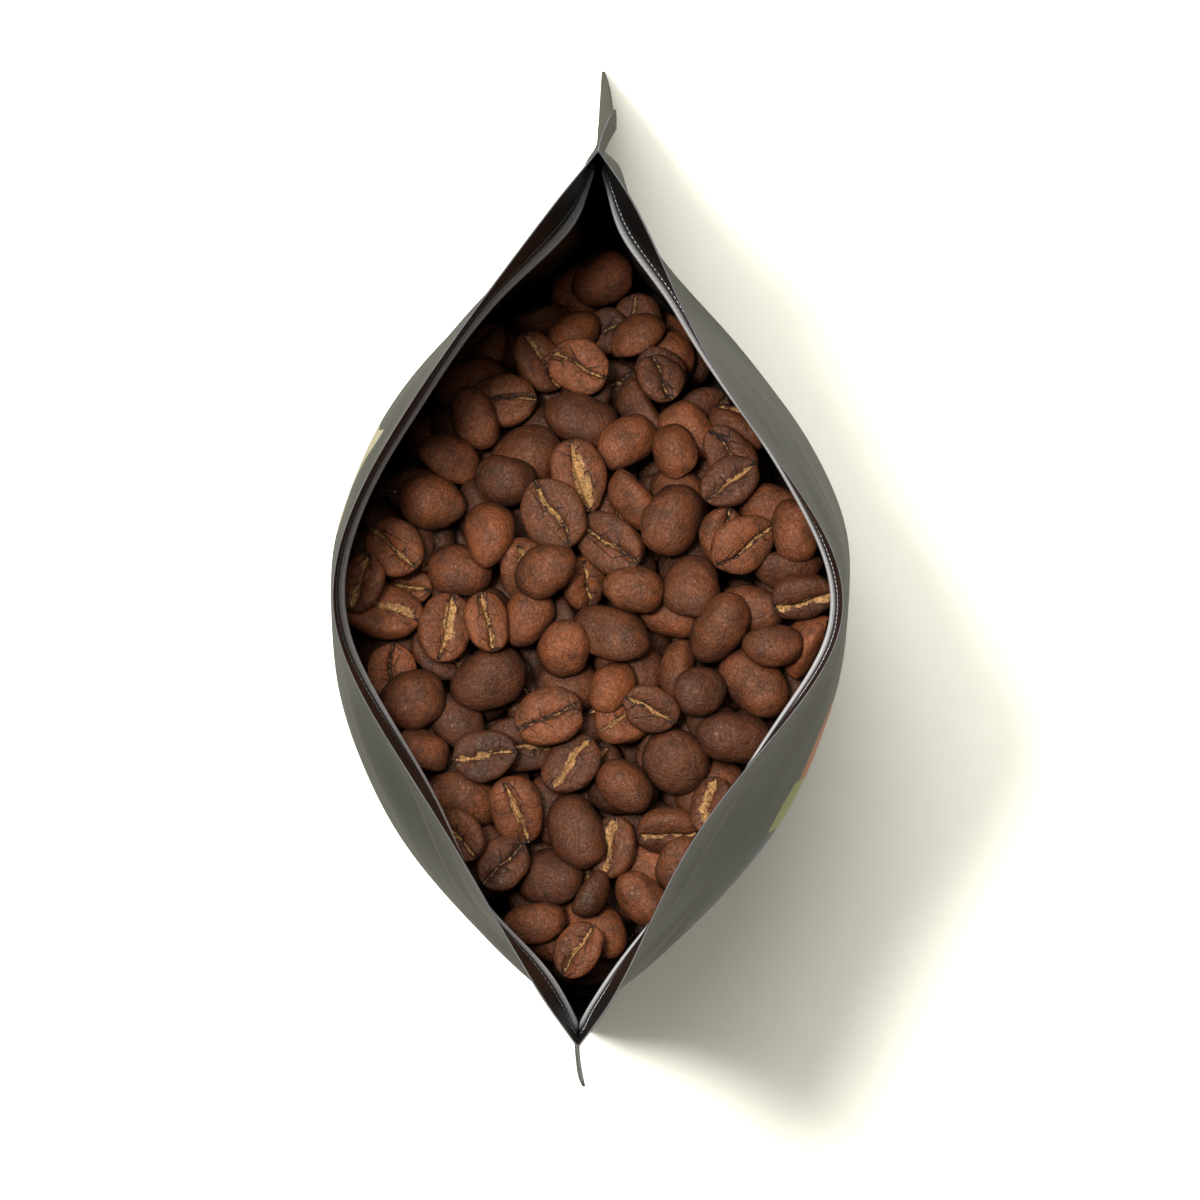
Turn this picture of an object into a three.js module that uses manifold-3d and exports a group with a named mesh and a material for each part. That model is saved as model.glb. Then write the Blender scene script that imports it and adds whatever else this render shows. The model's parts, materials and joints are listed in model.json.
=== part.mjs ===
// An opened stand-up pouch of roasted coffee beans.
// Millimetres, +Z up. The pouch stands on z = 0, its width runs along X and its depth along Y,
// and its front panel faces -Y. The origin is the middle of its box, at the base.
import * as THREE from 'three';
import { mergeVertices } from 'three/addons/utils/BufferGeometryUtils.js';
import Module from 'manifold-3d';

const wasm = await Module();
wasm.setup();

// Driving dimensions of the pouch
const HEIGHT = 212; // floor to the cut edge of the mouth
const FLAT_WIDTH = 157.5; // width of the pouch laid flat, side seals included
const SEAL_WIDTH = 5.6; // side seal at the mouth
const EAR_WIDTH = 12; // welded bottom corner, where the folded base joins the side seal
const EAR_HEIGHT = 48; // height where the ear has narrowed to the plain seal
const EAR_POWER = 1.5; // how hollow the ear's inner edge is
const FILM = 0.5; // one wall of film
const MOUTH_HALF_DEPTH = 35.6;
const BELLY_HALF_DEPTH = 36.7;
const BASE_HALF_DEPTH = 30;
const BELLY_HEIGHT = 105; // where the pouch is fullest
const BASE_SHIFT = 2.83; // the pouch leans: its base stands this far along X
const MOUTH_SHIFT = -4.32;
const MOUTH_ROUNDING = 0.33; // how round the two bends in the middle of the mouth are
const BASE_POINTED = 0.68; // how far the bottom edge has the mouth's pointed form
const END_POINTED = { plus: 0.66, minus: 0 }; // how far each half has it at every height
const SHAPING_START = 0.65; // share of the height where the round belly starts to turn into the mouth
const SHAPING_END = 1;
const SEAL_SWAY = 1.6; // how far the side seals bend out of line at half height

// How far each quarter of the wall is pressed in from its plain curve, at the belly and at the mouth.
// A larger power moves the pressed place of the belly towards the side seal.
const PRESSED_IN = {
  back: {
    plus: { belly: 9.7, power: 3.2, mouth: 0 },
    minus: { belly: -0.3, power: 1.2, mouth: 2.2 },
  },
  front: {
    plus: { belly: 9.5, power: 2.6, mouth: 4.8 },
    minus: { belly: -3.7, power: 1.5, mouth: 5.7 },
  },
};
const BASE_PRESS = 0.4; // share of the belly's pressing that is left at the bottom edge

// Folded base
const BASE_FOLD_LOW = 3; // upper face of the base in the middle
const BASE_FOLD_HIGH = 42; // upper face of the base where its fold meets the side seals
const BASE_FOLD_POWER = 2.6;
const BASE_FILM = 0.9; // measured straight up
const SKIRT_FILM = 1.1; // panel and base welded together along the bottom edge

// Zip strips
const ZIP_HEIGHT = 188; // middle of the strips
const ZIP_FLANGE = 9;
const ZIP_FLANGE_THICKNESS = 0.5;
const ZIP_RIB = 1.5; // how far a rib stands off the flange
const ZIP_RIB_WIDTH = 1.3;
const ZIP_RIB_SPACING = 2.6;
const ZIP_REACH = 0.9; // share of the half-width that the strips cover
const GAP = 0.35; // left between the zip strips and the film

// Beans
const BEAN_LENGTH = 10.4;
const BEAN_WIDTH = 8.2;
const BEAN_THICKNESS = 5.6;
const BEAN_SPREAD = 0.12; // sizes vary by this share either way
const BEAN_COUNT = 120;
const BEAN_SINK = 1.4; // how deep a bean is bedded in what it lies on
const BEAN_SIDES = 7;
const BEAN_RINGS = [[0, -0.48], [1, -0.15], [0.72, 0.34], [0, 0.52]]; // share of the radius, height
const BEAN_TILT = 0.45; // radians either way, end to end
const BEAN_ROLL = 0.55; // radians either way, side to side
const CUT_DOWN_SHARE = 0.4; // beans that lie on their flat side are turned over
const CORE_TOP = 166.5;
const HEAP_CLEARANCE = 0.9; // between the heap and the film
const BEAN_CLEARANCE = 1.2; // between a loose bean's middle plane and the film
const CORE_REACH = 0.97; // share of the half-width that the core fills
const HEAP_REACH = 0.98; // share of the half-width that the beans keep to
const ROOM_DEPTH = 20; // how far below the core's top the beans are trimmed to the pouch
const CORE_OVERLAP = 10; // the untrimmed core ends this far below its top
const DROP_CELL = 0.8; // grid on which beans are dropped
const DROP_TRIES = 60;
const SEED = 20;

// Fineness of the meshes
const PANEL_STEPS = 24;
const WALL_ROWS = 15;
const ROW_CROWDING = 1.25; // rows lie closer together near the base, where the wall curves most
const CAVITY_ROWS = 13;
const SKIRT_ROWS = 3;
const ROOM_ROWS = 8;
const ZIP_STEPS = 34;
const CAVITY_REACH = 0.99; // share of the half-width where the inner walls meet
const SKIRT_REACH = 0.955;
const BISECTIONS = 40;
const ARC_SAMPLES = 60;
const SLOPE_STEP = 0.01; // in t
const MERGE_DISTANCE = 1e-4;

const mix = (from, to, share) => from + (to - from) * share;
const smooth = (share) => {
  const s = Math.min(Math.max(share, 0), 1);
  return s * s * (3 - 2 * s);
};

// Half-depth of the pouch in the middle of its width
function halfDepth(z) {
  if (z < BELLY_HEIGHT) {
    const rise = Math.max(z, 0) / BELLY_HEIGHT;
    return mix(BASE_HALF_DEPTH, BELLY_HALF_DEPTH, Math.sin((Math.PI / 2) * rise));
  }
  const rise = (z - BELLY_HEIGHT) / (HEIGHT - BELLY_HEIGHT);
  return mix(BELLY_HALF_DEPTH, MOUTH_HALF_DEPTH, smooth(rise));
}

// Width of the flat welded edge beside the panels
function sealWidth(z) {
  const share = 1 - Math.min(Math.max(z, 0) / EAR_HEIGHT, 1);
  return SEAL_WIDTH + (EAR_WIDTH - SEAL_WIDTH) * share ** EAR_POWER;
}

// How far the shape has gone from a round belly (0) to the pointed mouth (1)
function mouthShare(z) {
  return smooth((z / HEIGHT - SHAPING_START) / (SHAPING_END - SHAPING_START));
}

// Depth of one panel at t, from -1 at one side seal to 1 at the other, for a given half-width
function panelDepth(side, t, z, halfWidth) {
  const depth = halfDepth(z);
  const radius = (halfWidth ** 2 + depth ** 2) / (2 * depth);
  const arc = Math.sqrt(radius ** 2 - (t * halfWidth) ** 2) - (radius - depth);
  const rim = Math.sqrt(1 + MOUTH_ROUNDING ** 2);
  const bend = rim - Math.sqrt(MOUTH_ROUNDING ** 2 + t ** 2);
  const pointed = (depth * bend) / (rim - MOUTH_ROUNDING);
  const half = t > 0 ? 'plus' : 'minus';
  const quarter = PRESSED_IN[side][half];
  const share = mouthShare(z);
  const byHeight = share + BASE_POINTED * (1 - smooth(z / BELLY_HEIGHT));
  const pointedShare = mix(byHeight, 1, END_POINTED[half]);
  const bellyWave = Math.sin(Math.PI * Math.abs(t) ** quarter.power) ** 2;
  const bellyPress = quarter.belly * mix(BASE_PRESS, 1, smooth(z / BELLY_HEIGHT)) * bellyWave;
  const mouthPress = quarter.mouth * Math.sin(Math.PI * t) ** 2;
  return mix(arc, pointed, pointedShare) - mix(bellyPress, mouthPress, share);
}

// The film doesn't stretch, so the half-width follows from the length of the panel's curve
const widthCache = new Map();
function halfWidthAt(z) {
  const key = z.toFixed(3);
  if (!widthCache.has(key)) {
    const wanted = FLAT_WIDTH - 2 * sealWidth(z);
    let low = wanted / 4;
    let high = wanted / 2;
    for (let i = 0; i < BISECTIONS; i++) {
      const middle = (low + high) / 2;
      if (curveLength(z, middle) > wanted) high = middle;
      else low = middle;
    }
    widthCache.set(key, low);
  }
  return widthCache.get(key);
}

// Mean length of the front and back curves
function curveLength(z, halfWidth) {
  let length = 0;
  for (const side of ['front', 'back']) {
    let last = panelDepth(side, -1, z, halfWidth);
    for (let i = 1; i <= ARC_SAMPLES; i++) {
      const next = panelDepth(side, -1 + (2 * i) / ARC_SAMPLES, z, halfWidth);
      length += Math.hypot((2 * halfWidth) / ARC_SAMPLES, next - last) / 2;
      last = next;
    }
  }
  return length;
}

const middleX = (z) => mix(BASE_SHIFT, MOUTH_SHIFT, z / HEIGHT);
const outward = (side) => (side === 'back' ? 1 : -1);

// A point of the outer face (inset 0) or of a face that lies inset millimetres further in
function wallPoint(side, t, z, inset) {
  const halfWidth = halfWidthAt(z);
  const low = Math.max(t - SLOPE_STEP, -1);
  const high = Math.min(t + SLOPE_STEP, 1);
  const rise = panelDepth(side, high, z, halfWidth) - panelDepth(side, low, z, halfWidth);
  const slant = Math.hypot(1, rise / ((high - low) * halfWidth));
  const depth = panelDepth(side, t, z, halfWidth) + FILM - inset * slant;
  return new THREE.Vector3(middleX(z) + t * halfWidth, outward(side) * depth, z);
}

// Closed solid through rows of points. A row is {front, back}, two lists of one length
// that run from -X to +X, and both ends are closed by strips from front to back.
function loftSolid(rows) {
  const count = rows[0].front.length;
  const ring = 2 * count;
  const positions = [];
  for (const row of rows) {
    for (const point of [...row.front, ...row.back.slice().reverse()]) {
      positions.push(point.x, point.y, point.z);
    }
  }
  const triangles = [];
  for (let r = 0; r + 1 < rows.length; r++) {
    for (let i = 0; i < ring; i++) {
      const a = r * ring + i;
      const b = r * ring + ((i + 1) % ring);
      triangles.push(a, b, b + ring, a, b + ring, a + ring);
    }
  }
  const top = (rows.length - 1) * ring;
  for (let i = 0; i + 1 < count; i++) {
    const frontA = i;
    const frontB = i + 1;
    const backA = ring - 1 - i;
    const backB = ring - 2 - i;
    triangles.push(frontA, backA, backB, frontA, backB, frontB);
    triangles.push(top + frontA, top + backB, top + backA, top + frontA, top + frontB, top + backB);
  }
  return solidFrom(positions, triangles);
}

function solidFrom(positions, triangles) {
  return new wasm.Manifold(
    new wasm.Mesh({
      numProp: 3,
      vertProperties: new Float32Array(positions),
      triVerts: new Uint32Array(triangles),
    }),
  );
}

// The largest body of a solid, without sealed hollows or loose scraps
function mainBody(solid) {
  return solid.decompose().reduce((best, body) => (body.volume() > best.volume() ? body : best));
}

function meshFrom(solid, name, material) {
  const data = solid.getMesh();
  const positions = new Float32Array(data.numVert * 3);
  for (let i = 0; i < data.numVert; i++) {
    positions.set(data.vertProperties.subarray(i * data.numProp, i * data.numProp + 3), i * 3);
  }
  const geometry = new THREE.BufferGeometry();
  geometry.setAttribute('position', new THREE.BufferAttribute(positions, 3));
  geometry.setIndex(new THREE.BufferAttribute(new Uint32Array(data.triVerts), 1));
  const merged = mergeVertices(geometry, MERGE_DISTANCE);
  merged.computeVertexNormals();
  const mesh = new THREE.Mesh(merged, material);
  mesh.name = name;
  return mesh;
}

const stations = (steps, reach) =>
  Array.from({ length: steps + 1 }, (_, i) => reach * (-1 + (2 * i) / steps));

// Pouch: outer body with its side seals
function outerRow(z) {
  const seal = sealWidth(z);
  const sway = -SEAL_SWAY * Math.sin((Math.PI * z) / HEIGHT);
  const row = {};
  for (const side of ['front', 'back']) {
    const panel = stations(PANEL_STEPS, 1).map((t) => wallPoint(side, t, z, 0));
    const first = panel[0].clone();
    const last = panel[PANEL_STEPS].clone();
    first.x -= seal;
    first.y -= sway;
    last.x += seal;
    last.y += sway;
    row[side] = [first, ...panel, last];
  }
  return row;
}

function outerBody() {
  const rows = [];
  for (let r = 0; r <= WALL_ROWS; r++) {
    rows.push(outerRow(HEIGHT * (r / WALL_ROWS) ** ROW_CROWDING));
  }
  return loftSolid(rows);
}

// Height of the upper face of the folded base
const baseFold = (t) => mix(BASE_FOLD_LOW, BASE_FOLD_HIGH, Math.abs(t) ** BASE_FOLD_POWER);

// A filling of the pouch's inside, between two heights that may change with t
function filling(reach, inset, bottom, top, rowCount) {
  const rows = [];
  for (let r = 0; r <= rowCount; r++) {
    const row = { front: [], back: [] };
    for (const t of stations(PANEL_STEPS, reach)) {
      const z = mix(bottom(t), top(t), r / rowCount);
      row.front.push(wallPoint('front', t, z, inset));
      row.back.push(wallPoint('back', t, z, inset));
    }
    rows.push(row);
  }
  return loftSolid(rows);
}

function makePouch(material) {
  const inside = filling(CAVITY_REACH, FILM, baseFold, () => HEIGHT + 1, CAVITY_ROWS);
  const underFold = (t) => baseFold(t) - BASE_FILM;
  const below = filling(SKIRT_REACH, SKIRT_FILM, () => -1, underFold, SKIRT_ROWS);
  const shell = outerBody().subtract(inside).subtract(below);
  return meshFrom(mainBody(shell), 'pouch', material);
}

// Zip strips: a flange with ribs, carried along the inner wall.
// A profile point is [height above the strip's middle, distance from the wall].
function ribbedProfile(ribHeights) {
  const half = ZIP_FLANGE / 2;
  const profile = [[-half, 0], [-half, ZIP_FLANGE_THICKNESS]];
  for (const middle of ribHeights) {
    profile.push([middle - ZIP_RIB_WIDTH / 2, ZIP_FLANGE_THICKNESS]);
    profile.push([middle - ZIP_RIB_WIDTH / 2, ZIP_FLANGE_THICKNESS + ZIP_RIB]);
    profile.push([middle + ZIP_RIB_WIDTH / 2, ZIP_FLANGE_THICKNESS + ZIP_RIB]);
    profile.push([middle + ZIP_RIB_WIDTH / 2, ZIP_FLANGE_THICKNESS]);
  }
  profile.push([half, ZIP_FLANGE_THICKNESS], [half, 0]);
  return profile;
}

function makeZip(side, name, ribHeights, material) {
  const profile = ribbedProfile(ribHeights);
  const positions = [];
  for (const t of stations(ZIP_STEPS, ZIP_REACH)) {
    for (const [rise, offset] of profile) {
      const point = wallPoint(side, t, ZIP_HEIGHT + rise, FILM + GAP + offset);
      positions.push(point.x, point.y, point.z);
    }
  }
  const ring = profile.length;
  const triangles = [];
  for (let s = 0; s < ZIP_STEPS; s++) {
    for (let i = 0; i < ring; i++) {
      const a = s * ring + i;
      const b = s * ring + ((i + 1) % ring);
      triangles.push(a, b + ring, b, a, a + ring, b + ring);
    }
  }
  const outline = profile.map(([rise, offset]) => new THREE.Vector2(rise, offset));
  const last = ZIP_STEPS * ring;
  const winding = THREE.ShapeUtils.area(outline);
  for (const [a, b, c] of THREE.ShapeUtils.triangulateShape(outline, [])) {
    const alike = THREE.ShapeUtils.area([outline[a], outline[b], outline[c]]) * winding > 0;
    const [second, third] = alike ? [b, c] : [c, b];
    triangles.push(a, second, third, last + a, last + third, last + second);
  }
  const flipped = side === 'front';
  for (let i = 0; flipped && i < triangles.length; i += 3) {
    [triangles[i + 1], triangles[i + 2]] = [triangles[i + 2], triangles[i + 1]];
  }
  return meshFrom(solidFrom(positions, triangles), name, material);
}

// Seeded random numbers from 0 to 1
function randomFrom(seed) {
  let state = seed;
  return () => {
    state = (state + 0x6d2b79f5) | 0;
    let mixed = Math.imul(state ^ (state >>> 15), 1 | state);
    mixed = (mixed + Math.imul(mixed ^ (mixed >>> 7), 61 | mixed)) ^ mixed;
    return ((mixed ^ (mixed >>> 14)) >>> 0) / 2 ** 32;
  };
}

// A bean: flat below, domed above, longer than wide
function beanSolid(bean) {
  const positions = [];
  const place = new THREE.Matrix4().compose(
    bean.centre,
    bean.turn,
    new THREE.Vector3(bean.size.x / 2, bean.size.y / 2, bean.size.z),
  );
  for (const [radius, rise] of BEAN_RINGS) {
    const count = radius === 0 ? 1 : BEAN_SIDES;
    for (let i = 0; i < count; i++) {
      const angle = (2 * Math.PI * i) / BEAN_SIDES;
      const point = new THREE.Vector3(radius * Math.cos(angle), radius * Math.sin(angle), rise);
      point.applyMatrix4(place);
      positions.push(point.x, point.y, point.z);
    }
  }
  const lower = 1;
  const upper = 1 + BEAN_SIDES;
  const peak = 1 + 2 * BEAN_SIDES;
  const triangles = [];
  for (let i = 0; i < BEAN_SIDES; i++) {
    const j = (i + 1) % BEAN_SIDES;
    triangles.push(0, lower + j, lower + i);
    triangles.push(lower + i, lower + j, upper + j, lower + i, upper + j, upper + i);
    triangles.push(upper + i, upper + j, peak);
  }
  return solidFrom(positions, triangles);
}

// Lower and upper faces of a turned ellipsoid over a point of the ground, or null beside it
function ellipsoidSpan(form, x, y) {
  const linear = form.xz * x + form.yz * y;
  const constant = form.xx * x * x + 2 * form.xy * x * y + form.yy * y * y - 1;
  const inner = linear * linear - form.zz * constant;
  if (inner <= 0) return null;
  const root = Math.sqrt(inner);
  return [(-linear - root) / form.zz, (-linear + root) / form.zz];
}

// Coefficients of a turned ellipsoid's equation
function ellipsoidForm(size, turn) {
  const rotation = new THREE.Matrix4().makeRotationFromQuaternion(turn);
  const e = new THREE.Matrix3().setFromMatrix4(rotation).elements;
  const inverse = [4 / size.x ** 2, 4 / size.y ** 2, 4 / size.z ** 2];
  const term = (row, column) =>
    inverse.reduce((sum, value, k) => sum + value * e[3 * k + row] * e[3 * k + column], 0);
  return {
    xx: term(0, 0),
    xy: term(0, 1),
    yy: term(1, 1),
    xz: term(0, 2),
    yz: term(1, 2),
    zz: term(2, 2),
  };
}

// Beans are dropped one by one on a map of heights. Each tries several places and turns,
// and stays where it comes to lie lowest.
function dropBeans(random) {
  const columns = Math.ceil(FLAT_WIDTH / DROP_CELL);
  const rowsDeep = Math.ceil((2 * BELLY_HALF_DEPTH + BEAN_LENGTH) / DROP_CELL);
  const groundX = (i) => (i - columns / 2) * DROP_CELL;
  const groundY = (j) => (j - rowsDeep / 2) * DROP_CELL;
  const heights = new Float64Array(columns * rowsDeep).fill(Infinity);
  const halfWidth = halfWidthAt(CORE_TOP);
  for (let i = 0; i < columns; i++) {
    const t = (groundX(i) - middleX(CORE_TOP)) / halfWidth;
    if (Math.abs(t) >= CAVITY_REACH) continue;
    const front = wallPoint('front', t, CORE_TOP, FILM + BEAN_CLEARANCE).y;
    const back = wallPoint('back', t, CORE_TOP, FILM + BEAN_CLEARANCE).y;
    for (let j = 0; j < rowsDeep; j++) {
      if (groundY(j) > front && groundY(j) < back) heights[i * rowsDeep + j] = CORE_TOP;
    }
  }
  const reach = Math.ceil(BEAN_LENGTH / DROP_CELL);

  // Calls visit(cell, lower, upper) for every cell under the bean
  function underBean(form, i0, j0, visit) {
    for (let i = i0 - reach; i <= i0 + reach; i++) {
      for (let j = j0 - reach; j <= j0 + reach; j++) {
        const span = ellipsoidSpan(form, (i - i0) * DROP_CELL, (j - j0) * DROP_CELL);
        if (!span) continue;
        const outside = i < 0 || j < 0 || i >= columns || j >= rowsDeep;
        visit(outside ? -1 : i * rowsDeep + j, ...span);
      }
    }
  }

  const beans = [];
  for (let n = 0; n < BEAN_COUNT; n++) {
    const scale = mix(1 + BEAN_SPREAD, 1 - BEAN_SPREAD, n / BEAN_COUNT);
    const size = new THREE.Vector3(BEAN_LENGTH, BEAN_WIDTH, BEAN_THICKNESS).multiplyScalar(scale);
    let best = null;
    for (let k = 0; k < DROP_TRIES; k++) {
      const i0 = Math.floor(random() * columns);
      const j0 = Math.floor(random() * rowsDeep);
      const tilt = (2 * random() - 1) * BEAN_TILT;
      const roll = (2 * random() - 1) * BEAN_ROLL + (random() < CUT_DOWN_SHARE ? Math.PI : 0);
      const euler = new THREE.Euler(roll, tilt, random() * 2 * Math.PI, 'ZYX');
      const turn = new THREE.Quaternion().setFromEuler(euler);
      const form = ellipsoidForm(size, turn);
      let rest = -Infinity;
      underBean(form, i0, j0, (cell, lower) => {
        rest = Math.max(rest, (cell < 0 ? Infinity : heights[cell]) - lower);
      });
      if (Number.isFinite(rest) && (!best || rest < best.rest)) best = { rest, i0, j0, turn, form };
    }
    if (!best) continue;
    const centre = new THREE.Vector3(groundX(best.i0), groundY(best.j0), best.rest - BEAN_SINK);
    underBean(best.form, best.i0, best.j0, (cell, lower, upper) => {
      heights[cell] = Math.max(heights[cell], centre.z + upper);
    });
    beans.push({ centre, turn: best.turn, size });
  }
  return beans;
}

function makeBeans(material) {
  const inset = FILM + HEAP_CLEARANCE;
  const clearOfFold = (t) => baseFold(t) + 2 * HEAP_CLEARANCE;
  const upTo = (height) => filling(CORE_REACH, inset, clearOfFold, () => height, CAVITY_ROWS);
  const beans = dropBeans(randomFrom(SEED)).map(beanSolid);
  const heap = wasm.Manifold.union([upTo(CORE_TOP), ...beans]);
  // What would still reach the film is cut off along the inside of the pouch
  const roomFloor = () => CORE_TOP - ROOM_DEPTH;
  const room = filling(HEAP_REACH, FILM + HEAP_CLEARANCE / 2, roomFloor, () => HEIGHT, ROOM_ROWS);
  const trimmed = heap.intersect(room).add(upTo(CORE_TOP - CORE_OVERLAP));
  return meshFrom(mainBody(trimmed), 'beans', material);
}

// Materials
const matt = (color, roughness) => new THREE.MeshStandardMaterial({ color, roughness, metalness: 0 });
const filmMaterial = matt(0x5b5c50, 0.55);
const zipMaterial = matt(0x8a8a90, 0.35);
const beanMaterial = matt(0x5f3826, 0.5);

const coffeeBag = new THREE.Group();
coffeeBag.add(makePouch(filmMaterial));
coffeeBag.add(makeZip('front', 'zip_front', [0], zipMaterial));
coffeeBag.add(makeZip('back', 'zip_back', [-ZIP_RIB_SPACING / 2, ZIP_RIB_SPACING / 2], zipMaterial));
coffeeBag.add(makeBeans(beanMaterial));

export default coffeeBag;
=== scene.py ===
"""An opened stand-up pouch of roasted coffee beans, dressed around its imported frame.

Metres, +Z up. The pouch stands on z = 0, its width runs along X and its front panel faces -Y.
"""
import json
import math

import bpy
import numpy as np
from bpy.props import FloatProperty, FloatVectorProperty, IntProperty, PointerProperty
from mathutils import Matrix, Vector

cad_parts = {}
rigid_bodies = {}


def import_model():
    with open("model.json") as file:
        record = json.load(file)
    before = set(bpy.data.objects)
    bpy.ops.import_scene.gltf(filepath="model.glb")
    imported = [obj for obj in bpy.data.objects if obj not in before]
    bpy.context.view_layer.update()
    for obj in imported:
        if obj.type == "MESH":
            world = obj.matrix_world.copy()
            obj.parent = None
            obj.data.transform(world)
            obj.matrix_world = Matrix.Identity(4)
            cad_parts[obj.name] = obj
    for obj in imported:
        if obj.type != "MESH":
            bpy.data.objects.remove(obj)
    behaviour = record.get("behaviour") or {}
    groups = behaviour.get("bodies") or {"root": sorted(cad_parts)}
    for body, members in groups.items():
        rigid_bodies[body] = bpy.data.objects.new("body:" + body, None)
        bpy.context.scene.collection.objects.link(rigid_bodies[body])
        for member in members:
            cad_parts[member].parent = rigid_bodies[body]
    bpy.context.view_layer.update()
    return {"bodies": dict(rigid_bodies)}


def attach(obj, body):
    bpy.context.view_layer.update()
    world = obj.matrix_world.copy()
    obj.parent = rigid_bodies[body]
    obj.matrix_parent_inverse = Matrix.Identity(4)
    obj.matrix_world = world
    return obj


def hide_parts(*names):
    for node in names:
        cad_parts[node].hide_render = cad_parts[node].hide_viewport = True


bl_info = {
    "name": "Coffee pouch",
    "version": (1, 0, 0),
    "blender": (4, 5, 0),
    "location": "3D View > Sidebar > Coffee pouch",
    "description": "Film, zip strips and loose beans of an opened coffee pouch",
    "category": "Add Mesh",
}

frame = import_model()
BODY = next(iter(frame["bodies"]))
MM = 0.001
Z_AXIS = 2

# Form of the pouch's walls. Its solids follow the same formulas.
EAR_HEIGHT = 48 * MM  # height where the welded bottom corner has narrowed to the plain seal
EAR_POWER = 1.5  # of its slanted edge
WALL = 0.5 * MM  # the outer face stands this far outside the panel's curve
BELLY_HALF_DEPTH = 36.7 * MM
BASE_HALF_DEPTH = 30 * MM
BELLY_HEIGHT = 105 * MM
BASE_SHIFT = 2.83 * MM  # the pouch leans: x of its middle at the floor, and at the mouth
MOUTH_SHIFT = -4.32 * MM
MOUTH_ROUNDING = 0.33  # in t: how round the tip of the pointed curve is
BASE_POINTED = 0.68  # share of the pointed curve at the floor
END_POINTED = {"plus": 0.66, "minus": 0.0}  # more of it at all heights, in the half towards +X
SHAPING_START = 0.65  # shares of the height over which the mouth's shape takes over
SHAPING_END = 1.0
BASE_PRESS = 0.4  # how much of the pressing-in is left at the floor
PRESSED_IN = {  # per side and quarter: at the belly, its power, and at the mouth
    "back": {"plus": (9.7 * MM, 3.2, 0), "minus": (-0.3 * MM, 1.2, 2.2 * MM)},
    "front": {"plus": (8.6 * MM, 2.4, 4.8 * MM), "minus": (-0.6 * MM, 1.0, 5.7 * MM)},
}
BASE_FOLD_LOW = 3 * MM
BASE_FOLD_HIGH = 42 * MM
BASE_FOLD_POWER = 2.6
DIFFERENCE_STEP = 0.01  # step in t over which slopes are taken
INNER_REACH = 0.996  # share of the half-width where the inner faces meet
SEAM_START = 0.88  # in t: from here the two panels close up to the thickness of the fin
FIN_THICKNESS = 0.42 * MM
CORNER_WELD = 0.13  # in t: how far the weld reaches in over the panels at the bottom corners
CORNER_WELD_HEIGHT = 75 * MM
WELD_EDGE = 0.06  # in t: over this width the panels close
LEAST_DEPTH = 0.12 * MM  # keeps the inner faces of both panels apart where they meet
LENGTH_SAMPLES = 61  # places in t at which the length of a panel's curve is taken
HALVINGS = 40
TABLE_ROWS = 216  # of the table of half-widths, which goes a little past the rim
TABLE_PAST_RIM = 2 * MM
DENT_DEPTH = 0.45 * MM  # long shallow dents of the film, and finer ones over them
FINE_DENT_DEPTH = 0.16 * MM
DENT_SIDE_FADE = 0.2  # in t
DENT_RIM_FADE = 18 * MM
DENT_BASE_FADE = 30 * MM

# The stiff zip pulls the wall in below the mouth. Rows: place t, half-width in t, how far the wall
# stands in at the zip (a minus sign: out), seen from the mouth's edge.
WAIST = {
    "back": [(0.9, 0.26, 2.2 * MM), (0.35, 0.35, 0.8 * MM), (-0.42, 0.32, 1.8 * MM), (-0.87, 0.2, 2.3 * MM)],
    "front": [(0.87, 0.24, 2.4 * MM), (0.1, 0.3, 0.8 * MM), (-0.25, 0.2, 0.8 * MM), (-0.86, 0.22, 2.3 * MM)],
}
WAIST_BOTTOM = 160 * MM
WAIST_LOW = 183 * MM
WAIST_HIGH = 195 * MM
WAIST_END_FADE = 0.07  # in t, next to the side seals
WAIST_MOST = 0.5  # share of the half-depth that the waist may take
WAIST_MOST_LEAST = 0.01 * MM


def mix(start, end, share):
    """Straight line from start to end."""
    return start + (end - start) * share


def smooth(share):
    """Smooth step: 0 up to 0, 1 from 1 on, 3s^2 - 2s^3 between."""
    s = np.clip(share, 0, 1)
    return s * s * (3 - 2 * s)


def bump(x, middle, half_width):
    """Raised cosine: 1 at the middle, 0 from half_width away."""
    return 0.5 + 0.5 * np.cos(np.pi * np.clip((x - middle) / half_width, -1, 1))


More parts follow.
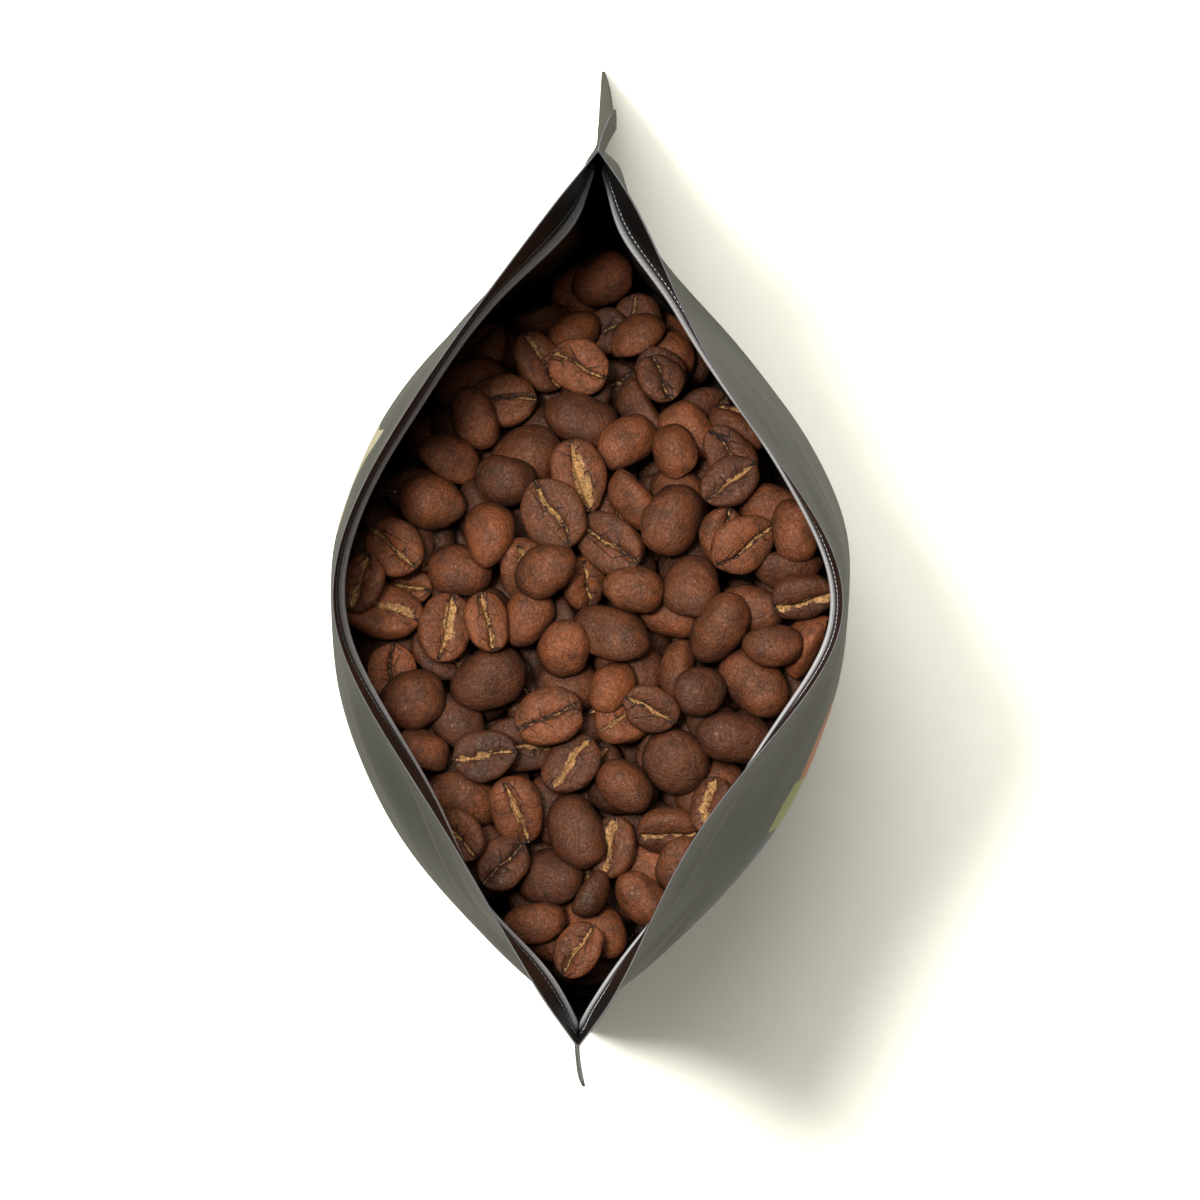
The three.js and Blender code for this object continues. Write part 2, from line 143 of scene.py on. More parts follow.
class PouchShape:
    """The walls as formulas of t, -1 at one side seal to 1 at the other, and of the height z.

    A panel's depth goes from a circle's arc at the belly to a pointed curve at the mouth. The film
    doesn't stretch, so the half-width at each height follows from the length of the curve.
    """

    def __init__(self, settings):
        self.height = settings.height
        self.flat_width = settings.flat_width
        self.seal = settings.seal_width
        self.ear = settings.ear_width
        self.mouth_half_depth = settings.mouth_half_depth
        self.table_heights = np.linspace(0, self.height + TABLE_PAST_RIM, TABLE_ROWS)
        self.table_widths = self.solve_half_widths(self.table_heights)

    def half_depth(self, z):
        low = mix(BASE_HALF_DEPTH, BELLY_HALF_DEPTH, np.sin(np.pi / 2 * np.clip(z / BELLY_HEIGHT, 0, 1)))
        rise = (z - BELLY_HEIGHT) / (self.height - BELLY_HEIGHT)
        high = mix(BELLY_HALF_DEPTH, self.mouth_half_depth, smooth(rise))
        return np.where(z < BELLY_HEIGHT, low, high)

    def seal_width(self, z):
        return self.seal + (self.ear - self.seal) * (1 - np.clip(z / EAR_HEIGHT, 0, 1)) ** EAR_POWER

    def middle_x(self, z):
        return mix(BASE_SHIFT, MOUTH_SHIFT, z / self.height)

    def panel_depth(self, side, t, z, half_width):
        """Arc and pointed curve mixed by height, less sin^2 waves that press the quarters in."""
        depth = self.half_depth(z)
        radius = (half_width**2 + depth**2) / (2 * depth)
        arc = np.sqrt(np.maximum(radius**2 - (t * half_width) ** 2, 0)) - (radius - depth)
        rim = math.sqrt(1 + MOUTH_ROUNDING**2)
        pointed = depth * (rim - np.sqrt(MOUTH_ROUNDING**2 + t**2)) / (rim - MOUTH_ROUNDING)
        share = smooth((z / self.height - SHAPING_START) / (SHAPING_END - SHAPING_START))
        by_height = share + BASE_POINTED * (1 - smooth(z / BELLY_HEIGHT))
        pointed_share = mix(by_height, 1, np.where(t > 0, END_POINTED["plus"], END_POINTED["minus"]))
        plus = PRESSED_IN[side]["plus"]
        minus = PRESSED_IN[side]["minus"]
        belly, power, mouth = (np.where(t > 0, a, b) for a, b in zip(plus, minus))
        belly_wave = np.sin(np.pi * np.abs(t) ** power) ** 2
        belly_press = belly * mix(BASE_PRESS, 1, smooth(z / BELLY_HEIGHT)) * belly_wave
        mouth_press = mouth * np.sin(np.pi * t) ** 2
        return mix(arc, pointed, pointed_share) - mix(belly_press, mouth_press, share)

    def solve_half_widths(self, heights):
        """Bisection for the half-width that gives both panels their flat length on average."""
        z = heights[:, None]
        t = np.linspace(-1, 1, LENGTH_SAMPLES)[None, :]
        wanted = self.flat_width - 2 * self.seal_width(heights)
        low = wanted / 4
        high = wanted / 2
        for _ in range(HALVINGS):
            middle = (low + high) / 2
            length = 0
            for side in ("front", "back"):
                depth = self.panel_depth(side, t, z, middle[:, None])
                step = 2 * middle[:, None] / (LENGTH_SAMPLES - 1)
                length = length + np.hypot(step, np.diff(depth, axis=1)).sum(axis=1) / 2
            high = np.where(length > wanted, middle, high)
            low = np.where(length > wanted, low, middle)
        return low

    def half_width(self, z):
        return np.interp(z, self.table_heights, self.table_widths)

    def waist(self, side, t, z):
        """How far the zip pulls the wall in: raised cosines along t, a soft plateau in height."""
        pull = sum(amount * bump(t, middle, width) for middle, width, amount in WAIST[side])
        level = smooth((z - WAIST_BOTTOM) / (WAIST_LOW - WAIST_BOTTOM))
        level = level * (1 - smooth((z - WAIST_HIGH) / (self.height - WAIST_HIGH)))
        return pull * level * smooth((1 - np.abs(t)) / WAIST_END_FADE)

    def dents(self, side, t, z):
        """Shallow dents of the film, which fade towards its edges.

        They are products of sines, whose numbers are radians for one t, for one millimetre of height,
        and for the side.
        """
        sign = 1 if side == "back" else -1
        wave = np.sin(5.3 * t + 0.021 / MM * z + 1.3 * sign) * np.sin(0.013 / MM * z + 2.1 * t * sign)
        fine = np.sin(13 * t - 0.034 / MM * z) * np.sin(0.05 / MM * z + 7 * t + sign)
        fade = smooth((1 - np.abs(t)) / DENT_SIDE_FADE) * smooth((self.height - z) / DENT_RIM_FADE)
        return (DENT_DEPTH * wave + FINE_DENT_DEPTH * fine) * fade * smooth(z / DENT_BASE_FADE)

    def wall(self, side, t, z, inset):
        """A point of the outer face, or of a face that lies inset further in along the normal."""
        t, z = np.broadcast_arrays(np.asarray(t, float), np.asarray(z, float))
        half_width = self.half_width(z)
        low = np.maximum(t - DIFFERENCE_STEP, -1)
        high = np.minimum(t + DIFFERENCE_STEP, 1)
        rise = self.panel_depth(side, high, z, half_width) - self.panel_depth(side, low, z, half_width)
        slant = np.hypot(1, rise / ((high - low) * half_width))
        stand = mix(WALL, FIN_THICKNESS / 2, smooth((np.abs(t) - SEAM_START) / (1 - SEAM_START)))
        depth = self.panel_depth(side, t, z, half_width) + stand - inset * slant
        pull = self.waist(side, t, z)
        most = np.maximum(WAIST_MOST * depth, WAIST_MOST_LEAST)
        depth = depth - pull / (1 + (pull / most) ** 4) ** 0.25 + self.dents(side, t, z)
        reach = CORNER_WELD * (1 - np.clip(z / CORNER_WELD_HEIGHT, 0, 1))
        past_weld = (np.abs(t) - (1 - reach)) / WELD_EDGE
        welded = smooth(past_weld + 0.5) * smooth(2 * reach / WELD_EDGE)
        depth = mix(depth, FIN_THICKNESS / 2 - inset * slant, welded)
        depth = np.maximum(depth, LEAST_DEPTH / (1 + inset / FIN_THICKNESS))
        outward = 1 if side == "back" else -1
        return np.stack([self.middle_x(z) + t * half_width, outward * depth, z], axis=-1)

    def base_fold(self, t):
        """Height of the folded base's upper face: low in the middle, steep at the side seals."""
        return mix(BASE_FOLD_LOW, BASE_FOLD_HIGH, np.abs(t) ** BASE_FOLD_POWER)


# Side fins: how far the fin's tip bends out of line along Y, at the floor, half-way up and at the mouth
FIN_BEND = {
    1: (-0.4 * MM, -2.2 * MM, -1.9 * MM),
    -1: (-1.0 * MM, 0.6 * MM, -1.0 * MM),
}
FIN_BEND_POWER = 1.4  # of the bend from the fin's root to its tip
FIN_STEPS = 7
PANEL_SAMPLES = 121
SAMPLES_TO_SEALS = 1.15  # power by which samples stand closer at the side seals
FILM_ROWS = 136
ROWS_TO_ENDS = 0.35  # share by which rows stand closer at the floor and at the rim
BASE_WELD = 4 * MM  # the panels are welded together this far above the base's fold
SEAL_MARGIN = 0.2 * MM  # how far the pressed ribs reach in over the edge of a side seal
BASE_WELD_FADE = 0.8 * MM
RIM_WAVE = 0.5 * MM  # the cut edge isn't quite straight
RIM_WAVE_TURNS = (9, 23)  # radians of its two sines for one t
RIM_WAVE_START = 2
RIM_WAVE_FROM = 0.9  # share of the height


def grid_faces(rows, columns, closed):
    """Quads of a grid whose points are numbered row by row; closed joins the last column to the first."""
    i, j = np.meshgrid(np.arange(rows - 1), np.arange(columns if closed else columns - 1), indexing="ij")
    a = i * columns + j
    b = i * columns + (j + 1) % columns
    return np.stack([a, b, b + columns, a + columns], axis=-1).reshape(-1, 4)


def make_object(name, points, faces, materials, face_materials=None, smooth_shading=True):
    """A mesh object at the origin, from arrays of points and of faces."""
    mesh = bpy.data.meshes.new(name)
    corners = [face for group in faces for face in group.tolist()]
    mesh.from_pydata(np.asarray(points).reshape(-1, 3).tolist(), [], corners)
    for material in materials:
        mesh.materials.append(material)
    count = len(mesh.polygons)
    mesh.polygons.foreach_set("use_smooth", np.full(count, smooth_shading))
    if face_materials is not None:
        mesh.polygons.foreach_set("material_index", np.asarray(face_materials, dtype=np.int32))
    mesh.update()
    piece = bpy.data.objects.new(name, mesh)
    bpy.context.scene.collection.objects.link(piece)
    return piece


def place_piece(piece, node):
    """Puts a piece on the pouch's body and hides the solid of the frame that it stands for."""
    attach(piece, BODY)
    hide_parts(node)


def set_point_values(piece, name, values):
    """Stores one number, or one vector, for each point of the mesh."""
    values = np.asarray(values, dtype=np.float32)
    kind = "FLOAT_VECTOR" if values.ndim > 1 else "FLOAT"
    attribute = piece.data.attributes.new(name, kind, "POINT")
    attribute.data.foreach_set("vector" if values.ndim > 1 else "value", values.ravel())


def set_uv(piece, coordinates):
    """Writes one UV pair for each point into a UV map."""
    loops = np.empty(len(piece.data.loops), dtype=np.int32)
    piece.data.loops.foreach_get("vertex_index", loops)
    layer = piece.data.uv_layers.new(name="film_map")
    layer.data.foreach_set("uv", np.asarray(coordinates, dtype=np.float32)[loops].ravel())


def linear(hex_colour):
    """sRGB hex to linear RGBA."""
    channels = [int(hex_colour[i : i + 2], 16) / 255 for i in (1, 3, 5)]
    return [c / 12.92 if c <= 0.04045 else ((c + 0.055) / 1.055) ** 2.4 for c in channels] + [1.0]


def add_node(tree, kind, links=None, **settings):
    """Adds a node. links maps inputs to values, to outputs, or to nodes, whose first output in use counts."""
    node = tree.nodes.new("ShaderNode" + kind)
    for key, value in settings.items():
        setattr(node, key, value)
    for key, value in (links or {}).items():
        if isinstance(value, bpy.types.Node):
            value = next(output for output in value.outputs if output.enabled)
        if isinstance(value, bpy.types.NodeSocket):
            tree.links.new(value, node.inputs[key])
        else:
            node.inputs[key].default_value = value
    return node


def new_material(name):
    """An empty node material and its tree."""
    material = bpy.data.materials.new(name)
    material.use_nodes = True
    material.node_tree.nodes.clear()
    return material, material.node_tree


def finish_material(tree, shader_links):
    """Adds the Principled shader and the output."""
    shader = add_node(tree, "BsdfPrincipled", shader_links)
    add_node(tree, "OutputMaterial", {"Surface": shader})


# Printed fields of the film in millimetres: side (1 back, -1 front), middle and half-size across the
# panel, middle and half-size in height, swing, wavelength and shift of a wavy edge, colour
PRINTED_FIELDS = [
    (1, 16, 10, 94, 34, 40, 60, -1.15, "#8c8670"),
    (1, 15, 19, 65, 35, 0, 60, 0, "#5e3f24"),
    (-1, -27, 7, 71, 71, 8, 60, 4.5, "#6e3f1c"),
    (-1, -38, 4.5, 73, 73, 8, 40, 1.26, "#5a5c30"),
    (-1, -52, 9.5, 71, 71, 8, 44, 2.14, "#262e3a"),
    (-1, -40, 21, 24, 36, 9, 90, 4.0, "#1c1f26"),
]


def film_material(settings):
    """Matt laminated polyester film with flat printed fields, pressed with ribs where it is welded."""
    material, tree = new_material("matt_laminated_film")
    place = add_node(tree, "TexCoord")
    film = place.outputs["Object"]
    spot = add_node(tree, "SeparateXYZ", {0: film})
    uv = add_node(tree, "SeparateXYZ", {0: place.outputs["UV"]})
    across, up = uv.outputs[:2]
    cloud = add_node(tree, "TexNoise", {"Vector": film, "Scale": 1 / (18 * MM), "Detail": 2.0})
    tone = add_node(tree, "Mix", {0: cloud, 6: linear("#1f201b"), 7: linear("#292a22")}, data_type="RGBA")
    colour = tone
    for side, middle, half, height, half_height, swing, wavelength, shift, hex_colour in PRINTED_FIELDS:
        turn = add_node(tree, "Math", {0: across, 1: 2 * math.pi / (wavelength * MM), 2: shift},
                        operation="MULTIPLY_ADD")
        wave = add_node(tree, "Math", {0: turn}, operation="SINE")
        level = add_node(tree, "Math", {0: wave, 1: -swing * MM, 2: up}, operation="MULTIPLY_ADD")
        in_height = add_node(tree, "Math", {0: level, 1: height * MM, 2: half_height * MM},
                             operation="COMPARE")
        in_width = add_node(tree, "Math", {0: across, 1: middle * MM, 2: half * MM}, operation="COMPARE")
        on_side = add_node(tree, "Math", {0: spot.outputs[1], 1: side * 1.0, 2: 1.0}, operation="COMPARE")
        field = add_node(tree, "Math", {0: in_height, 1: in_width}, operation="MULTIPLY")
        field = add_node(tree, "Math", {0: field, 1: on_side}, operation="MULTIPLY")
        colour = add_node(tree, "Mix", {0: field, 6: colour, 7: linear(hex_colour)}, data_type="RGBA")
    # Long folds level with the zip, in the upper half only: the lines along which a noise, drawn out across
    # the panel, is 0.5. They dent the film through the bump, and their paler colour is a painted highlight
    # along each fold.
    drawn = add_node(tree, "Math", {0: across, 1: 0.045}, operation="MULTIPLY")
    panel = add_node(tree, "Math", {0: spot.outputs[1], 1: 0.2}, operation="MULTIPLY")
    drawn = add_node(tree, "CombineXYZ", {0: drawn, 1: up, 2: panel})
    folds = add_node(tree, "TexNoise", {"Vector": drawn, "Scale": 1 / (24 * MM), "Detail": 1.0})
    folds = add_node(tree, "Math", {0: folds, 1: 0.5}, operation="SUBTRACT")
    folds = add_node(tree, "Math", {0: folds}, operation="ABSOLUTE")
    sharp = add_node(tree, "MapRange",
                     {"Value": folds, "From Min": 0.0, "From Max": 0.03, "To Min": 0.22, "To Max": 0.0})
    upper = add_node(tree, "MapRange", {"Value": up, "From Min": 90 * MM, "From Max": 140 * MM})
    crease_and_highlight = add_node(tree, "Math", {0: sharp, 1: upper}, operation="MULTIPLY")
    # painted highlight: the fold lines are coloured paler than the film
    colour = add_node(tree, "Mix", {0: crease_and_highlight, 6: colour, 7: linear("#54503f")}, data_type="RGBA")
    seal = add_node(tree, "Attribute", attribute_name="seal").outputs["Fac"]
    pale = add_node(tree, "Math", {0: seal, 1: 0.35}, operation="MULTIPLY")
    colour = add_node(tree, "Mix", {0: pale, 6: colour, 7: linear("#4b4b3d")}, data_type="RGBA")
    slanted = add_node(tree, "Math", {0: across, 1: 0.6, 2: up}, operation="MULTIPLY_ADD")
    rib_turn = add_node(tree, "Math", {0: slanted, 1: 2 * math.pi / settings.seal_rib},
                        operation="MULTIPLY")
    ribs = add_node(tree, "Math", {0: rib_turn}, operation="SINE")
    pressed = add_node(tree, "Math", {0: ribs, 1: seal}, operation="MULTIPLY")
    peel = add_node(tree, "TexNoise", {"Vector": film, "Scale": 1 / (0.7 * MM), "Detail": 3.0})
    crinkle = add_node(tree, "TexNoise", {"Vector": film, "Scale": 1 / (15 * MM), "Detail": 1.0})
    relief = add_node(tree, "Bump", {"Height": crinkle, "Strength": 0.3, "Distance": 1.6 * MM})
    relief = add_node(tree, "Bump",
                      {"Height": crease_and_highlight, "Normal": relief, "Strength": 0.5, "Distance": 0.4 * MM})
    relief = add_node(tree, "Bump",
                      {"Height": peel, "Normal": relief, "Strength": 0.15, "Distance": 0.1 * MM})
    relief = add_node(tree, "Bump",
                      {"Height": pressed, "Normal": relief, "Strength": 0.6, "Distance": 0.25 * MM})
    finish_material(tree,
                    {"Base Color": colour, "Roughness": 0.6, "Specular IOR Level": 0.03, "Normal": relief})
    return material


def plain_material(name, grain, detail, dark, light, shader, relief=None):
    """Two tones mixed by a noise of the given grain. relief is a pair: strength and depth of that noise."""
    material, tree = new_material(name)
    place = add_node(tree, "TexCoord")
    noise = add_node(tree, "TexNoise",
                     {"Vector": place.outputs["Object"], "Scale": 1 / grain, "Detail": detail})
    tone = add_node(tree, "Mix", {0: noise, 6: linear(dark), 7: linear(light)}, data_type="RGBA")
    links = {"Base Color": tone, **shader}
    if relief:
        strength, depth = relief
        links["Normal"] = add_node(tree, "Bump", {"Height": noise, "Strength": strength, "Distance": depth})
    finish_material(tree, links)
    return material


def base_film_material():
    """The same matt film, unprinted, under the pouch."""
    return plain_material("unprinted_base_film", 14 * MM, 3.0, "#1f201b", "#292a22",
                          {"Roughness": 0.6, "Specular IOR Level": 0.03}, (0.5, 1.0 * MM))


def lining_material():
    """Black polyethylene sealing layer, blown film: smooth, with a dull plum sheen and faint waves."""
    material, tree = new_material("black_polyethylene_lining")
    place = add_node(tree, "TexCoord")
    waves = add_node(tree, "TexNoise",
                     {"Vector": place.outputs["Object"], "Scale": 1 / (11 * MM), "Detail": 2.0})
    tone = add_node(tree, "Mix", {0: waves, 6: linear("#0c0a0b"), 7: linear("#141111")}, data_type="RGBA")
    rough = add_node(tree, "MapRange", {"Value": waves, "To Min": 0.36, "To Max": 0.52})
    relief = add_node(tree, "Bump", {"Height": waves, "Strength": 0.3, "Distance": 0.8 * MM})
    finish_material(tree,
                    {"Base Color": tone, "Roughness": rough, "Specular IOR Level": 0.3, "Normal": relief})
    return material


def cut_edge_material():
    """Cut edge of the laminate: its pale layers show as a thin light line with small nicks."""
    return plain_material("cut_laminate_edge", 2.5 * MM, 3.0, "#232326", "#47474d",
                          {"Roughness": 0.5, "IOR": 1.5})


def zip_material():
    """Extruded low-density polyethylene: milky ribs on a flange so thin that the black lining shows through.

    The die leaves fine lines along the strip and chatter marks across it.
    """
    material, tree = new_material("extruded_polyethylene_zip")
    place = add_node(tree, "TexCoord")
    along = add_node(tree, "SeparateXYZ", {0: place.outputs["UV"]})
    turn = add_node(tree, "Math", {0: along, 1: 2 * math.pi / (0.8 * MM)}, operation="MULTIPLY")
    chatter = add_node(tree, "Math", {0: turn}, operation="SINE")
    cloud = add_node(tree, "TexNoise",
                     {"Vector": place.outputs["Object"], "Scale": 1 / (6 * MM), "Detail": 2.0})
    tone = add_node(tree, "Mix", {0: cloud, 6: linear("#a0a0a6"), 7: linear("#bebec4")}, data_type="RGBA")
    lines_turn = add_node(tree, "Math", {0: along.outputs[1], 1: 2 * math.pi / (0.3 * MM)},
                          operation="MULTIPLY")
    lines = add_node(tree, "Math", {0: lines_turn}, operation="SINE")
    lines = add_node(tree, "MapRange", {"Value": lines, "From Min": -1.0, "To Min": 0.0, "To Max": 0.55})
    tone = add_node(tree, "Mix", {0: lines, 6: tone, 7: linear("#3e3e43")}, data_type="RGBA")
    rib = add_node(tree, "Attribute", attribute_name="rib").outputs["Fac"]
    tone = add_node(tree, "Mix", {0: rib, 6: linear("#29292c"), 7: tone}, data_type="RGBA")
    relief = add_node(tree, "Bump", {"Height": chatter, "Strength": 0.25, "Distance": 0.05 * MM})
    finish_material(tree, {"Base Color": tone, "Roughness": 0.24, "IOR": 1.5, "Normal": relief})
    return material


def bean_material(settings):
    """Medium-dark roasted coffee: dry satin skin with fine wrinkles, and golden chaff in the centre cut.

    Attributes of the mesh: grain is a place on the bean, groove the distance from its centre cut, along
    runs from -1 to 1 between its tips, tone and chaff are one number for each bean, and the painted underside
    shade grows from the bean's top to its underside, where less light reaches the skin.
    """
    material, tree = new_material("roasted_coffee_skin")
    grain = add_node(tree, "Attribute", attribute_name="grain").outputs["Vector"]
    tone, groove, along, chaff, underside_shade = (
        add_node(tree, "Attribute", attribute_name=name).outputs["Fac"]
        for name in ("tone", "groove", "along", "chaff", "underside_shade")
    )
    blotch = add_node(tree, "TexNoise", {"Vector": grain, "Scale": 1 / (3.0 * MM), "Detail": 3.0})
    wrinkle = add_node(tree, "TexNoise", {"Vector": grain, "Scale": 1 / (0.62 * MM), "Detail": 4.0,
                                          "Roughness": 0.66, "Distortion": 1.4})
    dents = add_node(tree, "TexNoise",
                     {"Vector": grain, "Scale": 1 / (1.9 * MM), "Detail": 2.0, "Distortion": 0.8})
    ragged = add_node(tree, "TexNoise",
                      {"Vector": grain, "Scale": 1 / (0.5 * MM), "Detail": 5.0, "Roughness": 0.7})
    patches = add_node(tree, "TexNoise", {"Vector": grain, "Scale": 1 / (2.2 * MM), "Detail": 2.0})
    cells = add_node(tree, "TexVoronoi", {"Vector": grain, "Scale": 1 / (3.6 * MM)},
                     feature="DISTANCE_TO_EDGE")
    skin = add_node(tree, "Mix", {0: tone, 6: (*settings.dark_skin, 1), 7: (*settings.light_skin, 1)},
                    data_type="RGBA")
    blotched = add_node(tree, "MapRange",
                        {"Value": blotch, "From Min": 0.42, "From Max": 0.7, "To Max": 0.55})
    skin = add_node(tree, "Mix", {0: blotched, 6: skin, 7: linear("#241711")}, data_type="RGBA")
    # painted shade: the valleys of the wrinkle noise, which the bump also sinks, are coloured darker
    wrinkle_valley_shade = add_node(tree, "MapRange", {"Value": wrinkle, "From Min": 0.36, "From Max": 0.52,
                                          "To Min": 0.62, "To Max": 0.0})
    skin = add_node(tree, "Mix", {0: wrinkle_valley_shade, 6: skin, 7: linear("#1c0d06")}, data_type="RGBA")
    # painted shade: the skin darkens towards each bean's underside
    skin = add_node(tree, "Mix", {0: underside_shade, 6: skin, 7: linear("#120804")}, data_type="RGBA")
    # Centre cut: its line wanders a little, its edge is ragged, and short cracks run off it
    wander = add_node(tree, "Math", {0: patches, 1: 0.9 * MM, 2: -0.45 * MM}, operation="MULTIPLY_ADD")
    line = add_node(tree, "Math", {0: groove, 1: wander}, operation="ADD")
    line = add_node(tree, "Math", {0: line}, operation="ABSOLUTE")
    fray = add_node(tree, "Math", {0: ragged, 1: 1.3 * MM, 2: -0.65 * MM}, operation="MULTIPLY_ADD")
    away = add_node(tree, "Math", {0: line, 1: fray}, operation="ADD")
    dark_cut = add_node(tree, "MapRange", {"Value": away, "From Min": 0.22 * MM, "From Max": 0.42 * MM,
                                           "To Min": 1.0, "To Max": 0.0})
    near_cut = add_node(tree, "MapRange", {"Value": line, "From Min": 0.9 * MM, "From Max": 2.2 * MM,
                                           "To Min": 1.0, "To Max": 0.0})
    crack = add_node(tree, "MapRange", {"Value": cells.outputs["Distance"], "From Min": 0.008,
                                        "From Max": 0.03, "To Min": 1.0, "To Max": 0.0})
    crack = add_node(tree, "Math", {0: crack, 1: near_cut}, operation="MULTIPLY")
    dark = add_node(tree, "Math", {0: dark_cut, 1: crack}, operation="MAXIMUM")
    skin = add_node(tree, "Mix", {0: dark, 6: skin, 7: linear("#1c0b05")}, data_type="RGBA")
    # Chaff: torn into patches, and gone towards the tips
    torn = add_node(tree, "MapRange",
                    {"Value": blotch, "From Min": 0.34, "From Max": 0.6, "To Min": 0.1, "To Max": 1.3})
    reach = add_node(tree, "Math", {0: chaff, 1: torn}, operation="MULTIPLY")
    tip = add_node(tree, "Math", {0: along}, operation="ABSOLUTE")
    tip_fade = add_node(tree, "MapRange",
                        {"Value": tip, "From Min": 0.74, "From Max": 0.92, "To Min": 1.0, "To Max": 0.0})
    reach = add_node(tree, "Math", {0: reach, 1: tip_fade}, operation="MULTIPLY")
    spare = add_node(tree, "Math", {0: reach, 1: away}, operation="SUBTRACT")
    chaff_mask = add_node(tree, "MapRange", {"Value": spare, "From Min": 0.0, "From Max": 0.1 * MM})
    straw_tone = add_node(tree, "MapRange", {"Value": wrinkle, "From Min": 0.35, "From Max": 0.65})
    straw = add_node(tree, "Mix", {0: straw_tone, 6: linear("#452a15"), 7: linear("#ae8455")},
                     data_type="RGBA")
    skin = add_node(tree, "Mix", {0: chaff_mask, 6: skin, 7: straw}, data_type="RGBA")
    rough = add_node(tree, "MapRange",
                     {"Value": wrinkle, "From Min": 0.3, "From Max": 0.7, "To Min": 0.62, "To Max": 0.34})
    dull = add_node(tree, "Math", {0: dark, 1: 0.9}, operation="MULTIPLY")
    rough = add_node(tree, "Math", {0: rough, 1: dull}, operation="MAXIMUM")
    relief = add_node(tree, "Bump", {"Height": dents, "Strength": 0.6, "Distance": 0.5 * MM})
    relief = add_node(tree, "Bump",
                      {"Height": wrinkle, "Normal": relief, "Strength": 1.0, "Distance": 0.28 * MM})
    relief = add_node(tree, "Bump",
                      {"Height": dark, "Normal": relief, "Strength": 0.5, "Distance": 0.15 * MM},
                      invert=True)
    finish_material(tree,
                    {"Base Color": skin, "Roughness": rough, "Specular IOR Level": 0.3, "Normal": relief})
    return material


def core_material():
    """Roasted beans deep between the others, painted near black as painted shade, where hardly any light
    reaches.
    """
    return plain_material("shaded_coffee", 5 * MM, 2.0, "#060302", "#120a06", {"Roughness": 0.9, "IOR": 1.3})


def floor_material():
    """Seamless white paper sweep: matt, with a barely visible tooth."""
    return plain_material("white_paper_sweep", 4 * MM, 2.0, "#f4f3f0", "#f8f7f4",
                          {"Roughness": 0.9, "IOR": 1.45})


def length_property(name, description, default):
    """A property that is a length, in metres."""
    return FloatProperty(name=name, description=description, default=default, unit="LENGTH")


class PouchProperties(bpy.types.PropertyGroup):
    height: length_property("Height", "Floor to the cut edge of the mouth", 212 * MM)
    flat_width: length_property("Flat width", "Width laid flat, side seals included", 157.5 * MM)
    mouth_half_depth: length_property("Mouth half-depth", "Half of the mouth's depth", 35.6 * MM)
    seal_width: length_property("Side seal", "Width of the side seals", 5.6 * MM)
    ear_width: length_property("Ear", "Width of the welded bottom corners", 12 * MM)
    film: length_property("Film", "Thickness of the film as it shows at the cut edge", 0.24 * MM)
    seal_rib: length_property("Seal ribs", "Spacing of the ribs pressed into the seals", 1.3 * MM)


class ZipProperties(bpy.types.PropertyGroup):
    middle: length_property("Height", "Height of the strips' middle", 188 * MM)
    flange: length_property("Flange", "Height of the welded flange", 10 * MM)
    reach: FloatProperty(name="Reach", description="Share of the half-width that the strips cover",
                         default=0.97, min=0.5, max=0.995)
    far_reach: FloatProperty(name="Far reach", description="The same share on the side of -X",
                             default=0.992, min=0.5, max=0.995)


class BeanProperties(bpy.types.PropertyGroup):
    length: length_property("Length", "Mean length of a bean", 9.8 * MM)
    width: length_property("Width", "Mean width of a bean", 7.6 * MM)
    thickness: length_property("Thickness", "Mean thickness of a bean", 5.4 * MM)
    count: IntProperty(name="Beans dropped", description="Beans dropped on the core", default=520)
    seed: IntProperty(name="Seed", description="Seed of all random draws", default=7)
    dark_skin: FloatVectorProperty(name="Dark skin", description="Colour of the darkest beans", size=3,
                                   subtype="COLOR", default=linear("#351b0e")[:3])
    light_skin: FloatVectorProperty(name="Light skin", description="Colour of the lightest beans", size=3,
                                    subtype="COLOR", default=linear("#743f23")[:3])


class StageProperties(bpy.types.PropertyGroup):
    key_angle: FloatProperty(name="Key size", description="Angular size of the key light",
                             default=math.radians(6.9), subtype="ANGLE")
    key_power: FloatProperty(name="Key light", description="Strength of the key light", default=3.7)
    wide_angle: FloatProperty(name="Wide size", description="Angular size of the wide light",
                              default=math.radians(32), subtype="ANGLE")
    wide_power: FloatProperty(name="Wide light", description="Strength of the wide light", default=3.7)
    sky_power: FloatProperty(name="Fill light", description="Strength of the even light from all round",
                             default=0.43)
    floor_size: length_property("Floor", "Side of the floor", 60.0)


